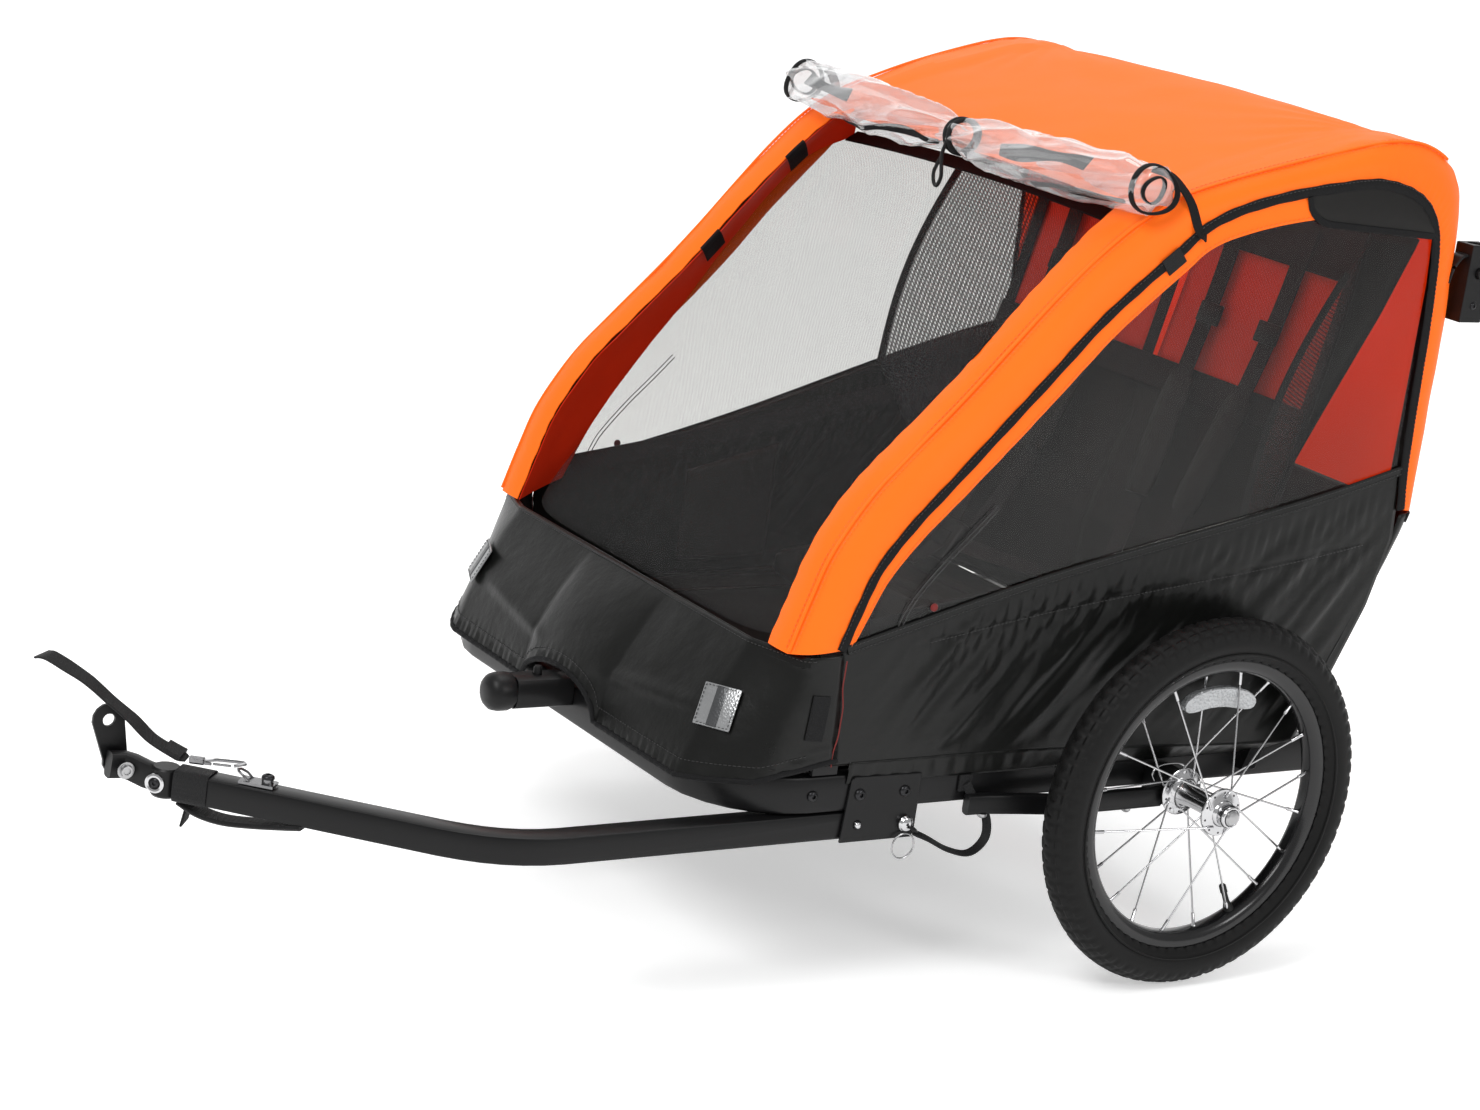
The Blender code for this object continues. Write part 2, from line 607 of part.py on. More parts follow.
def add_safety_strap():
    """Anchor plate with its loop, snap hook, gate and strap."""
    plate = [(0.058, -0.009), (0.092, -0.009), (0.092, 0.009), (0.058, 0.009)]
    anchor = prism(plate, on_arm, 0.0004, 0.0030)
    anchor = add_part("strap_anchor", anchor, "tow_arm", "steel")
    fuse(anchor, rod(on_arm(0.084, 0, 0.0015), on_arm(0.084, 0, 0.0085), 0.0058, 12))
    fuse(anchor, arm_wire(ANCHOR_LOOP, 0.0013, reference=ARM_BACK))

    hook = add_part("snap_hook", arm_wire(HOOK, 0.0017), "tow_arm", "chrome")
    fuse(hook, arm_wire(HOOK_SHANK, 0.0040, 8))
    add_part("hook_gate", arm_wire(HOOK_GATE, 0.0013), "hook_gate", "chrome")

    path = [on_arm(*station) for station in STRAP_START] + STRAP_END
    strap = sweep(path, flat_strap(0.0180, 0.0024), (0.1, -0.25, 1))
    add_part("safety_strap", strap, "tow_arm", "webbing")


# --------------------------------------------------------------- upper frame
# the hoop follows a line between the canopy's ridge and edge
HOOP_LINE = [mix(ridge, edge, 0.52) for ridge, edge in zip(RIDGE, EDGE)]
UPRIGHT_PATH = [        # y, z
    CORNER_PIVOT, (0.2420, 0.790), (0.2465, 0.740), (0.2470, 0.540),
    (0.2410, 0.495), (0.2220, 0.445), (0.1930, 0.387), (0.1760, 0.353)]


def side_tube(x, path):
    return sweep([(x, y, z) for y, z in path], circle(TUBE_R), (1, 0, 0))


def add_hoop(side, s):
    """Side tube of the hoop, with a stepped pin at the corner pivot."""
    path = [HOOP_PIVOT, (-0.443, 0.300)] + HOOP_LINE[:ROOF_REAR + 1] + [CORNER_PIVOT]
    hoop = add_part("hoop_" + side, side_tube(s * HOOP_X, path), "upper_frame", "frame_black")
    fuse(hoop, cross_rod(s * 0.2930, s * 0.3215, CORNER_PIVOT, 0.0080, 12))
    fuse(hoop, cross_rod(s * 0.3200, s * 0.3380, CORNER_PIVOT, 0.0036, 12))


def add_upright(side, s):
    """Rear upright, with a bored boss at the corner pivot."""
    tube = side_tube(s * UPRIGHT_X, UPRIGHT_PATH)
    upright = add_part("upright_" + side, tube, "rear_frame", "frame_black")
    inner, outer = UPRIGHT_X - 0.0088, UPRIGHT_X + 0.0088
    fuse(upright, cross_rod(s * inner, s * outer, CORNER_PIVOT, 0.0084, 16))
    cut(upright, cross_rod(s * 0.3150, s * 0.3450, CORNER_PIVOT, 0.0041, 12))


def add_handle_socket(side, s):
    """Block with an upright bore and a button in its outer face."""
    body = block(side_span(s, *SOCKET_X), (0.2765, 0.3080), (0.7040, 0.7870))
    socket = add_part("handle_socket_" + side, body, "rear_frame", "plastic_black")
    x, y = s * sum(SOCKET_X) / 2, SOCKET_BORE_Y
    cut(socket, rod((x, y, 0.69), (x, y, 0.80), 0.0095, 16))
    cut(socket, cross_rod(s * 0.3380, s * 0.3490, (y, SOCKET_BUTTON_Z), 0.0057, 12))
    button = lathe([(0.0, 0.0050), (0.0058, 0.0050), (0.0073, 0.0036)],
                   (s * 0.3447, y, SOCKET_BUTTON_Z), (s, 0, 0), 12)
    add_part("socket_button_" + side, button, "socket_button_" + side, "plastic_black")


def add_roof_bars():
    half = HOOP_X - TUBE_R - 0.0004
    for name, station in (("front_roof_bar", ROOF_FRONT), ("rear_roof_bar", ROOF_REAR)):
        bar = cross_rod(-half, half, HOOP_LINE[station], 0.0075, 10)
        add_part(name, bar, "upper_frame", "frame_black")


# ---------------------------------------------------------------- soft goods
def side_x(y):
    """Half width of the fabric body at y: it widens smoothly towards the rear."""
    front, rear = 0.3115, 0.348
    t = min(max((y + 0.25) / 0.42, 0.0), 1.0)
    return front + (rear - front) * t * t * (3 - 2 * t)


def canopy_row(station, ridge, edge):
    """Points from the left edge over the ridge to the right edge."""
    x_edge = side_x(edge[0])
    x_crown = 0.256         # half width of the crowned middle
    left = [(x_edge, *edge),
            (x_edge - 0.001, *mix(edge, ridge, 0.35)),
            (x_edge - 0.006, *mix(edge, ridge, 0.66)),
            (x_edge - 0.0205, *ridge),
            (x_crown, *ridge)]
    crown = 0.006 if ROOF_FRONT <= station < ROOF_REAR else 0.003
    y, z = ridge
    for x in (0.170, 0.085, 0.0):
        bulge = crown * (1 - (x / x_crown) ** 2)
        # the crown rises over the roof and swells to the rear below it
        left.append((x, y, z + bulge) if station <= ROOF_REAR else (x, y + bulge, z))
    return left + [(-x, y, z) for x, y, z in reversed(left[:-1])]


def add_canopy():
    """Roof, side bands and rear band, open at the front."""
    rows = [canopy_row(i, ridge, edge) for i, (ridge, edge) in enumerate(zip(RIDGE, EDGE))]
    last_middle = len(rows[0]) - 6

    def is_fabric(i, j):
        return i >= ROOF_FRONT or not 4 <= j <= last_middle

    add_part("canopy", skin(rows, CANOPY_T, is_fabric), "upper_frame", "orange", 60)


def add_side_skin(name, rows, thickness, s, body, material):
    shape = skin(rows if s < 0 else flip(rows), thickness)
    add_part(name, shape, body, material, 60)


def add_side_window(side, s):
    """Tinted sheet from the seam up to the canopy's side edge."""
    rows = []
    for y in spread(-0.418, 0.2215, 14):
        low = interpolate(SEAM, y) + SEAM_GAP
        high = max(interpolate(EDGE[:20], y) - 0.006, low + 0.004)
        x = s * (side_x(y) - SIDE_INSET)
        rows.append([(x, y, z) for z in spread(low, high, 3)])
    add_side_skin("side_window_" + side, rows, WINDOW_T, s, "upper_frame", "window")


def add_side_panel(side, s):
    """Black sheet below the seam. Its rear edge bellies out to the rear."""
    rows = []
    top_ys, bottom_ys = spread(-0.4335, 0.2335, 12), spread(-0.4210, 0.1480, 12)
    for k, (y_top, y_bottom) in enumerate(zip(top_ys, bottom_ys)):
        z_top = interpolate(SEAM, y_top) - SEAM_GAP
        row = []
        for m, belly in enumerate((0.0, 0.55, 0.95, 0.90, 0.0)):
            y, z = mix((y_bottom, 0.2435), (y_top, z_top), m / 4)
            y += 0.030 * (k / 12) ** 3 * belly
            row.append((s * (side_x(y) - SIDE_INSET), y, z))
        rows.append(row)
    add_side_skin("side_panel_" + side, rows, PANEL_T, s, "root", "nylon_black")


def add_front_panel():
    """Sheet from the canopy's front down over the front bar, notched at the receiver."""
    rows = []
    for x in spread(-0.3000, 0.3000, 16):
        edge = max(0.0, (abs(x) - 0.235) / 0.065)       # 1 at the panel's side edge
        swell = 0.012 * (1 - (x / 0.31) ** 2)
        notch = 0.034 * max(0.0, 1 - (x / 0.075) ** 2) ** 0.5
        top = (-0.4895 + 0.020 * edge, 0.3530)
        bottom = (-0.5560 - 0.25 * swell + 0.050 * edge ** 1.6,
                  0.2160 + notch + 0.012 * edge)
        row = []
        for t in spread(0, 1, 5):
            y, z = mix(top, bottom, t)
            row.append((x, y - swell * math.sin(math.pi * t), z))
        rows.append(row)
    add_part("front_panel", skin(rows, PANEL_T), "root", "nylon_black", 60)


def add_rear_panel():
    """Sheet below the canopy's rear band, sloping forward to the rear cross tube."""
    profile = [(0.2700, 0.4930), (0.2480, 0.4450), (0.2160, 0.3850),
               (0.1880, 0.3330), (0.1560, 0.2520)]      # y, z
    rows = []
    for x in spread(-0.3085, 0.3085, 8):
        bulge = 0.010 * (1 - (x / 0.31) ** 2)
        rows.append([(x, y + bulge, z) for y, z in profile])
    add_part("rear_panel", skin(flip(rows), PANEL_T), "root", "nylon_black", 60)


CUSHION_OUTLINE = [     # y, z
    (-0.150, 0.255), (0.095, 0.238), (0.105, 0.262),
    (0.090, 0.285), (-0.140, 0.300), (-0.158, 0.285)]
BACKREST_OUTLINE = [    # y, z
    (0.112, 0.262), (0.132, 0.262), (0.150, 0.400), (0.217, 0.700),
    (0.208, 0.706), (0.190, 0.700), (0.106, 0.400), (0.098, 0.290)]


def add_seat():
    pan = block((-0.2700, 0.2700), (-0.5050, 0.1400), (0.2335, 0.2375))
    add_part("floor_pan", pan, "root", "nylon_black")
    cushion = prism(CUSHION_OUTLINE, yz, -0.258, 0.258)
    add_part("seat_base", cushion, "root", "nylon_black", 60)
    backrest = prism(BACKREST_OUTLINE, yz, -0.270, 0.270)
    add_part("seat_back", backrest, "root", "nylon_black", 60)


# shoulder strap: share of its top offset from the seat's centre line, y, z
SHOULDER_STRAP = [(1.0, 0.180, 0.690), (0.9, 0.140, 0.580), (0.7, 0.085, 0.430),
                  (0.42, 0.048, 0.3473), (0.21, 0.0213, 0.3241)]


def add_harness(side, s):
    """Buckle block with two straps that spread towards the shoulders."""
    x = s * 0.135
    buckle = block((x - 0.0290, x + 0.0290), (0.0147, 0.0289), (0.3080, 0.3363))
    harness = add_part("harness_" + side, buckle, "root", "webbing")
    for offset in (-0.055, 0.055):
        path = [(x + offset * share, y, z) for share, y, z in SHOULDER_STRAP]
        fuse(harness, sweep(path, flat_strap(0.0260, 0.0026), (0, -1, 0.4)))


def add_rain_cover():
    """Rolled cover along the roof's front edge, pinched and sagging in the middle."""
    turns = [2 * math.pi * i / 12 for i in range(12)]
    rings = []
    for x in spread(0.305, -0.305, 12):
        radius = 0.0245 * (1.0 - 0.45 * math.exp(-(x / 0.05) ** 2))
        z = 0.8245 - 0.006 * (1 - (x / 0.31) ** 2)
        rings.append([(x, -0.1470 + 1.15 * radius * math.cos(a), z + radius * math.sin(a))
                      for a in turns])
    add_part("rain_cover", loft(rings), "upper_frame", "clear_film", 60)


# --------------------------------------------------------------------- build
for old in list(bpy.data.objects):
    bpy.data.objects.remove(old, do_unlink=True)
for material_name, settings in MATERIALS.items():
    add_material(material_name, *settings)
add_joints()
for add_piece in (add_main_frame, add_tow_bracket, add_receiver, add_tow_arm,
                  add_arm_fittings, add_hitch, add_safety_strap, add_roof_bars,
                  add_canopy, add_front_panel, add_rear_panel, add_seat, add_rain_cover):
    add_piece()
for add_side_piece in (add_chassis_side, add_wheel, add_hoop, add_upright,
                       add_handle_socket, add_side_window, add_side_panel, add_harness):
    for suffix, sign in SIDES:
        add_side_piece(suffix, sign)
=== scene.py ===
"""Looks of a child bicycle trailer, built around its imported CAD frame.

Metres, +Z up. The trailer faces -Y, with its tow arm and hitch there, and its L side is at +X.
Pieces are drawn with y = 0 on the axle; make() moves them onto the frame's own axle.
"""

import math

import bmesh
import bpy
import numpy as np
from mathutils import Matrix, Vector, noise


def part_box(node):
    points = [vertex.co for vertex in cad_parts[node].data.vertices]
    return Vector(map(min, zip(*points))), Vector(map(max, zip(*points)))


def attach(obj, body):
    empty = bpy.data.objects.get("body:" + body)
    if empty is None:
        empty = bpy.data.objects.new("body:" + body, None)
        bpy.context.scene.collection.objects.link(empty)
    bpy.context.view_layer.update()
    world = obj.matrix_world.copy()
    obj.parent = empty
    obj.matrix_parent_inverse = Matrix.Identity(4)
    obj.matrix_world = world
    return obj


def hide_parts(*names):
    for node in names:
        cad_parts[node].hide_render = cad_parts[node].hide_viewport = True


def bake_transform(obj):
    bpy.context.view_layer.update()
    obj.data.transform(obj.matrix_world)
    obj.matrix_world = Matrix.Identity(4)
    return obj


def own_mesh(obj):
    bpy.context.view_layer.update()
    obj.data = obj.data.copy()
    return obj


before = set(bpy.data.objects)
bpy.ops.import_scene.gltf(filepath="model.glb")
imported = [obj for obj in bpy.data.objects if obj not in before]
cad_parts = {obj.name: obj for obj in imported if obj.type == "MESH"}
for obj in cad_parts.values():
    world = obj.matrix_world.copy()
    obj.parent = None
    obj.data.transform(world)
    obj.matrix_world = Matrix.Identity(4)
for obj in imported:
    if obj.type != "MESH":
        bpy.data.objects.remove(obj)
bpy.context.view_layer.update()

scene = bpy.context.scene

SIDES = (("L", 1), ("R", -1))
PI = math.pi

# ---------------------------------------------------------- driving dimensions
hub_low, hub_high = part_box("hub_L")
AXLE_Y = (hub_low.y + hub_high.y) / 2
AXLE_Z = (hub_low.z + hub_high.z) / 2
WHEEL_X = 0.383         # middle of each wheel
CLOTH_FOOT = 0.2435     # height where the side panels meet the chassis
ROOF_X = 0.256          # half the width of the flat roof between its two bands
BAND_IN = 0.0205        # how far a band's crest lies inside the side
WINDOW_REAR = 0.2335    # y of the rear end of the side panels' upper edge

# Side view of the canopy (y, z) from the hoop's foot over the roof to the rear edge.
# Both curves have 25 stations, and a place on them is counted in stations.
RIDGE = np.array([
    (-.484, .355), (-.467, .408), (-.449, .455), (-.413, .510), (-.372, .554),
    (-.316, .611), (-.271, .660), (-.224, .713), (-.182, .757), (-.140, .793),
    (-.095, .820), (-.045, .838), (.010, .855), (.070, .871), (.125, .884),
    (.165, .889), (.200, .886), (.232, .873), (.253, .852), (.263, .826),
    (.268, .780), (.272, .700), (.274, .620), (.274, .550), (.272, .496)])
EDGE = np.array([
    (-.435, .362), (-.420, .405), (-.403, .445), (-.370, .488), (-.330, .530),
    (-.275, .588), (-.228, .638), (-.181, .691), (-.140, .731), (-.104, .764),
    (-.075, .792), (-.035, .813), (.020, .830), (.075, .841), (.120, .847),
    (.153, .844), (.180, .836), (.200, .823), (.214, .803), (.221, .778),
    (.225, .745), (.229, .690), (.232, .615), (.236, .545), (.242, .500)])
LAST = 24               # number of the last station
# lower edge of the side window (y, z)
WINDOW_FOOT = np.array([
    (-0.440, 0.359), (-0.425, 0.364), (-0.200, 0.426), (0.050, 0.494), (0.238, 0.545)])
# seam line low on the side panel (y, z)
PANEL_SEAM = np.array([(-0.44, 0.340), (-0.328, 0.366), (0.056, 0.436), (0.24, 0.470)])
# inner edge of the lining in the hoop bands (y, z)
BAND_INNER = np.array([
    (-.414, .370), (-.383, .433), (-.339, .500), (-.285, .571),
    (-.231, .647), (-.151, .739), (-.083, .771)])


# ------------------------------------------------------------- curves and noise
def smoothstep(start, end, x):
    t = np.clip((np.asarray(x, float) - start) / (end - start), 0, 1)
    return t * t * (3 - 2 * t)


def bell(x, width):
    return np.exp(-(x / width) ** 2)


def ease(t, steep, rest=0.0):
    """Weight that rises from rest at both ends of 0..1 and stays at 1 between."""
    return np.minimum(1, np.minimum(t, 1 - t) * steep + rest)


def circle(count):
    return np.linspace(0, 2 * PI, count + 1)[:-1]


def points(x, y, z):
    return np.stack(np.broadcast_arrays(x, y, z), -1)


def with_x(x, yz):
    return points(x, yz[..., 0], yz[..., 1])


def side_x(y):
    """Half the body's width, which grows toward the rear."""
    return 0.3115 + (0.348 - 0.3115) * smoothstep(-0.25, 0.17, y)


def on_side(sign, y, z, out=0.0):
    """Points on the body's side, moved out from it."""
    return points(sign * (side_x(y) + out), y, z)


def along(table, y):
    return np.interp(y, table[:, 0], table[:, 1])


def catmull(knots, u):
    """Catmull-Rom curve through the knots at u, which counts knots."""
    knots = np.asarray(knots, float)
    last = len(knots) - 1
    u = np.clip(np.asarray(u, float), 0, last)
    i = np.minimum(u.astype(int), last - 1)
    t = (u - i)[..., None]
    start, end = knots[i], knots[i + 1]
    before = np.where((i > 0)[..., None], knots[np.maximum(i - 1, 0)], 2 * start - end)
    after = np.where((i < last - 1)[..., None], knots[np.minimum(i + 2, last)], 2 * end - start)
    return 0.5 * (2 * start + (end - before) * t
                  + (2 * before - 5 * start + 4 * end - after) * t ** 2
                  + (3 * start - before - 3 * end + after) * t ** 3)


def smooth_path(knots, per=6):
    spans = len(knots) - 1
    return catmull(knots, np.linspace(0, spans, spans * per + 1))


def profile(curve, u):
    """Points on a side-view curve, and its outward direction there."""
    step = 0.02
    tangent = catmull(curve, u + step) - catmull(curve, u - step)
    tangent /= np.linalg.norm(tangent, axis=-1, keepdims=True)
    return catmull(curve, u), np.stack([-tangent[..., 1], tangent[..., 0]], -1)


def noise_at(grid, scale, seed=0.0):
    """Noise from -1 to 1 at each point, with its own scale along each axis."""
    moved = grid.reshape(-1, 3) * scale + np.array((seed, -seed, 2 * seed))
    values = np.fromiter((noise.noise(Vector(p)) for p in moved), float, len(moved))
    return values.reshape(grid.shape[:-1])


def normals_of(grid):
    normal = np.cross(np.gradient(grid, axis=0), np.gradient(grid, axis=1))
    return normal / np.maximum(np.linalg.norm(normal, axis=-1, keepdims=True), 1e-12)


# ------------------------------------------------------ shapes: (vertices, faces)
def quads(rows, columns, closed=False):
    """Faces of stacked rings. closed also joins the last ring to the first."""
    faces = []
    for i in range(rows if closed else rows - 1):
        here, there = i * columns, (i + 1) % rows * columns
        for j in range(columns):
            k = (j + 1) % columns
            faces.append((here + j, here + k, there + k, there + j))
    return faces


def turned(faces):
    return [(a, d, c, b) for a, b, c, d in faces]


def caps(rows, columns):
    return [tuple(range(columns)), tuple((rows - 1) * columns + j for j in range(columns))]


def rings(verts, rows, columns, closed=False):
    faces = quads(rows, columns, closed)
    return np.reshape(verts, (-1, 3)), faces if closed else faces + caps(rows, columns)


def join(*shapes):
    verts, faces, count = [], [], 0
    for shape_verts, shape_faces in shapes:
        verts.append(shape_verts)
        faces += [tuple(i + count for i in face) for face in shape_faces]
        count += len(shape_verts)
    return np.concatenate(verts), faces


def shell(grid, thick, normal=None, keep=None):
    """Closed sheet: grid is one face, the other lies thick behind it."""
    rows, columns = grid.shape[:2]
    if normal is None:
        normal = normals_of(grid)
    behind = grid - np.asarray(normal) * thick
    verts = np.concatenate([grid.reshape(-1, 3), behind.reshape(-1, 3)])
    offset = rows * columns
    faces, rim = [], {}
    for i in range(rows - 1):
        for j in range(columns - 1):
            if keep is not None and not keep[i][j]:
                continue
            a, b = i * columns + j, (i + 1) * columns + j
            quad = (a, b, b + 1, a + 1)
            faces.append(quad)
            faces.append(tuple(k + offset for k in reversed(quad)))
            for k in range(4):
                a, b = quad[k], quad[(k + 1) % 4]
                if (b, a) in rim:
                    del rim[b, a]
                else:
                    rim[a, b] = True
    for a, b in rim:
        faces.append((b, a, a + offset, b + offset))
    used = sorted({i for face in faces for i in face})
    renumber = {k: i for i, k in enumerate(used)}
    return verts[used], [tuple(renumber[i] for i in face) for face in faces]


def square_to(direction, ref):
    """Unit vector nearest to ref, square to a unit direction."""
    ref = np.asarray(ref, float)
    ref = ref - ref.dot(direction) * direction
    return ref / np.linalg.norm(ref)


def tangents(path, closed=False):
    if closed:
        result = np.roll(path, -1, 0) - np.roll(path, 1, 0)
    else:
        result = np.gradient(path, axis=0)
    return result / np.maximum(np.linalg.norm(result, axis=1, keepdims=True), 1e-12)


def tube(path, radius, sides=10, closed=False, ref=None, flat=1.0):
    """Round or oval tube. ref is the oval's short way, one vector or one for each point."""
    path = np.asarray(path, float)
    count = len(path)
    radius = np.broadcast_to(radius, (count,))
    if ref is not None:
        ref = np.broadcast_to(ref, (count, 3))
    cos, sin = np.cos(circle(sides))[:, None], np.sin(circle(sides))[:, None]
    verts = []
    up = None
    for i, tangent in enumerate(tangents(path, closed)):
        if ref is not None:
            up = ref[i]
        elif up is None:
            up = (0, 0, 1.0) if abs(tangent[2]) < 0.9 else (1.0, 0, 0)
        up = square_to(tangent, up)
        across = np.cross(tangent, up)
        verts.append(path[i] + radius[i] * (cos * across + flat * sin * up))
    return rings(verts, count, sides, closed)


def ribbon(path, width, thick, ref, rounding=0.3):
    """Flat strap. ref is its face direction, one vector or one for each point."""
    path = np.asarray(path, float)
    count = len(path)
    half_widths = np.broadcast_to(width, (count,)) / 2
    refs = np.broadcast_to(ref, (count, 3))
    high, cut = thick / 2, thick * rounding
    verts = []
    for i, tangent in enumerate(tangents(path)):
        up = square_to(tangent, refs[i])
        across = np.cross(tangent, up)
        wide = half_widths[i]
        for p, q in ((wide, high - cut), (wide - cut, high), (-wide + cut, high),
                     (-wide, high - cut), (-wide, -high + cut), (-wide + cut, -high),
                     (wide - cut, -high), (wide, -high + cut)):
            verts.append(path[i] + p * across + q * up)
    return rings(verts, count, 8)


def basis(axis):
    axis = np.asarray(axis, float)
    axis = axis / np.linalg.norm(axis)
    up = square_to(axis, (0, 0, 1.0) if abs(axis[2]) < 0.9 else (0, 1.0, 0))
    return axis, up, np.cross(axis, up)


def lathe(stations, centre, axis, sides=48, closed=False):
    """Turned shape. Stations are (place along the axis, radius)."""
    axis, up, across = basis(axis)
    turn = circle(sides)[:, None]
    spoke = np.cos(turn) * up + np.sin(turn) * across
    verts = [np.asarray(centre) + place * axis + radius * spoke for place, radius in stations]
    return rings(verts, len(stations), sides, closed)


def mirrored(stations):
    """The stations, then the same in reverse on the other side of 0."""
    return stations + [(-place, radius) for place, radius in reversed(stations)]


def slab(low, high, rounding=0.0015, segments=2):
    """Box with rounded edges."""
    low, high = np.array(low), np.array(high)
    centre, size = (low + high) / 2, np.abs(high - low)
    bm = bmesh.new()
    bmesh.ops.create_cube(bm, size=1.0)
    for vert in bm.verts:
        vert.co = Vector(centre + np.array(vert.co) * size)
    bmesh.ops.bevel(bm, geom=list(bm.edges), offset=min(rounding, min(size) * 0.45),
                    segments=segments, affect="EDGES", profile=0.5)
    bm.verts.index_update()
    verts = np.array([v.co for v in bm.verts])
    faces = [tuple(v.index for v in f.verts) for f in bm.faces]
    bm.free()
    return verts, faces


def place(shape, origin, *axes):
    """Shape in local coordinates moved onto three axes."""
    verts, faces = shape
    return np.asarray(origin, float) + verts @ np.array(axes, float), faces


def stitches(path, ref, length=0.0030, gap=0.0018):
    """Thread along a path, one short capsule for each stitch."""
    radius, lift = 0.00038, 0.0002
    path = np.asarray(path, float)
    refs = np.broadcast_to(ref, path.shape)
    run = np.concatenate([[0], np.cumsum(np.linalg.norm(np.diff(path, axis=0), axis=1))])

    def at(values, distance):
        return np.array([np.interp(distance, run, values[:, k]) for k in range(3)])

    parts = []
    distance = gap
    while distance + length < run[-1]:
        start, end = at(path, distance), at(path, distance + length)
        out = at(refs, distance)
        out = out / np.linalg.norm(out)
        low, high = out * (lift - radius), out * (lift + radius * 0.5)
        step = end - start
        knots = np.array([start + low, start + 0.18 * step + high,
                          start + 0.82 * step + high, end + low])
        parts.append(tube(knots, [radius * 0.6, radius, radius, radius * 0.6], 5))
        distance += length + gap
    return join(*parts)


def bolt(centre, axis, radius=0.0065, head=0.0030):
    """Button head with a hexagon socket."""
    sides, socket = 24, 0.42
    stations = [(-0.0012, radius * 0.98), (0.0, radius), (head * 0.45, radius * 0.93),
                (head * 0.8, radius * 0.72), (head, radius * 0.50),
                (head, radius * 0.44), (head * 0.35, radius * socket)]
    verts, faces = lathe(stations, centre, axis, sides)
    axis, up, across = basis(axis)
    turn = circle(sides)
    hexagon = math.cos(PI / 6) / np.cos(turn % (PI / 3) - PI / 6)
    reach = (radius * socket * hexagon)[:, None]
    rim = reach * (np.cos(turn)[:, None] * up + np.sin(turn)[:, None] * across)
    for k in (5, 6):
        verts[k * sides:(k + 1) * sides] = np.asarray(centre) + stations[k][0] * axis + rim
    return verts, faces


# ------------------------------------------------------------------- materials
class Shader:
    """One procedural material and the nodes that feed it."""

    def __init__(self, name, color, rough, metal=0.0, **sockets):
        self.material = bpy.data.materials.new(name)
        self.material.use_nodes = True
        self.tree = self.material.node_tree
        self.bsdf = self.tree.nodes["Principled BSDF"]
        self.out = self.tree.nodes["Material Output"].inputs["Surface"]
        self.color, self.rough = color, rough
        self.set(Base_Color=(*color, 1), Roughness=rough, Metallic=metal, **sockets)
        self.co = self.tree.nodes.new("ShaderNodeTexCoord").outputs["Object"]
        self.normal = None

    def set(self, **sockets):
        """Feeds the main shader. Socket names have underscores for spaces."""
        for key, value in sockets.items():
            self.feed(self.bsdf.inputs[key.replace("_", " ")], value)

    def feed(self, socket, value):
        if isinstance(value, bpy.types.NodeSocket):
            self.tree.links.new(value, socket)
        else:
            socket.default_value = value

    def node(self, kind, inputs, **props):
        node = self.tree.nodes.new("ShaderNode" + kind)
        for key, value in props.items():
            setattr(node, key, value)
        for key, value in inputs.items():
            self.feed(node.inputs[key], value)
        return node

    def space(self, scale=(1, 1, 1), turn=(0, 0, 0)):
        turn = [math.radians(v) for v in turn]
        inputs = {"Scale": scale, "Rotation": turn, "Vector": self.co}
        return self.node("Mapping", inputs).outputs["Vector"]

    def noise(self, scale, detail=2.0, rough=0.5, vec=None, distortion=0.0):
        inputs = {"Scale": scale, "Detail": detail, "Roughness": rough,
                  "Distortion": distortion, "Vector": vec or self.co}
        return self.node("TexNoise", inputs).outputs["Fac"]

    def cells(self, scale):
        inputs = {"Scale": scale, "Vector": self.co}
        return self.node("TexVoronoi", inputs, feature="F1").outputs["Distance"]

    def wave(self, scale, direction, vec, distortion=0.0):
        inputs = {"Scale": scale, "Distortion": distortion, "Vector": vec}
        return self.node("TexWave", inputs, bands_direction=direction).outputs["Fac"]

    def math(self, operation, *values):
        return self.node("Math", dict(enumerate(values)), operation=operation).outputs[0]

    def remap(self, field, low, high, start=0.0, end=1.0):
        inputs = {"From Min": start, "From Max": end, "To Min": low, "To Max": high,
                  "Value": field}
        return self.node("MapRange", inputs, clamp=True).outputs["Result"]

    def mix(self, field, first, second):
        # a colour mix takes its factor and colours at 0, 6 and 7, and gives its colour at 2
        inputs = {0: field, 6: (*first, 1), 7: (*second, 1)}
        return self.node("Mix", inputs, data_type="RGBA").outputs[2]

    def vary_roughness(self, field, spread):
        self.set(Roughness=self.remap(field, self.rough - spread, self.rough + spread))

    def vary(self, share, scale, spread, tint=None):
        """Slow change of colour by a share, and of roughness by a spread."""
        field = self.noise(scale, 3, 0.55)
        dark = tuple(c * (1 - share) for c in self.color)
        light = tint or tuple(min(1.0, c * (1 + share)) for c in self.color)
        self.set(Base_Color=self.mix(field, dark, light))
        self.vary_roughness(field, spread)

    def bump(self, height, strength, distance):
        """Adds relief on top of the bumps before it."""
        inputs = {"Strength": strength, "Distance": distance, "Height": height}
        if self.normal is not None:
            inputs["Normal"] = self.normal
        self.normal = self.node("Bump", inputs).outputs["Normal"]
        self.set(Normal=self.normal)

    def transparent(self, color):
        return self.node("BsdfTransparent", {"Color": (*color, 1)}).outputs[0]

    def mix_shaders(self, factor, first, second):
        return self.node("MixShader", {"Fac": factor, 1: first, 2: second}).outputs[0]


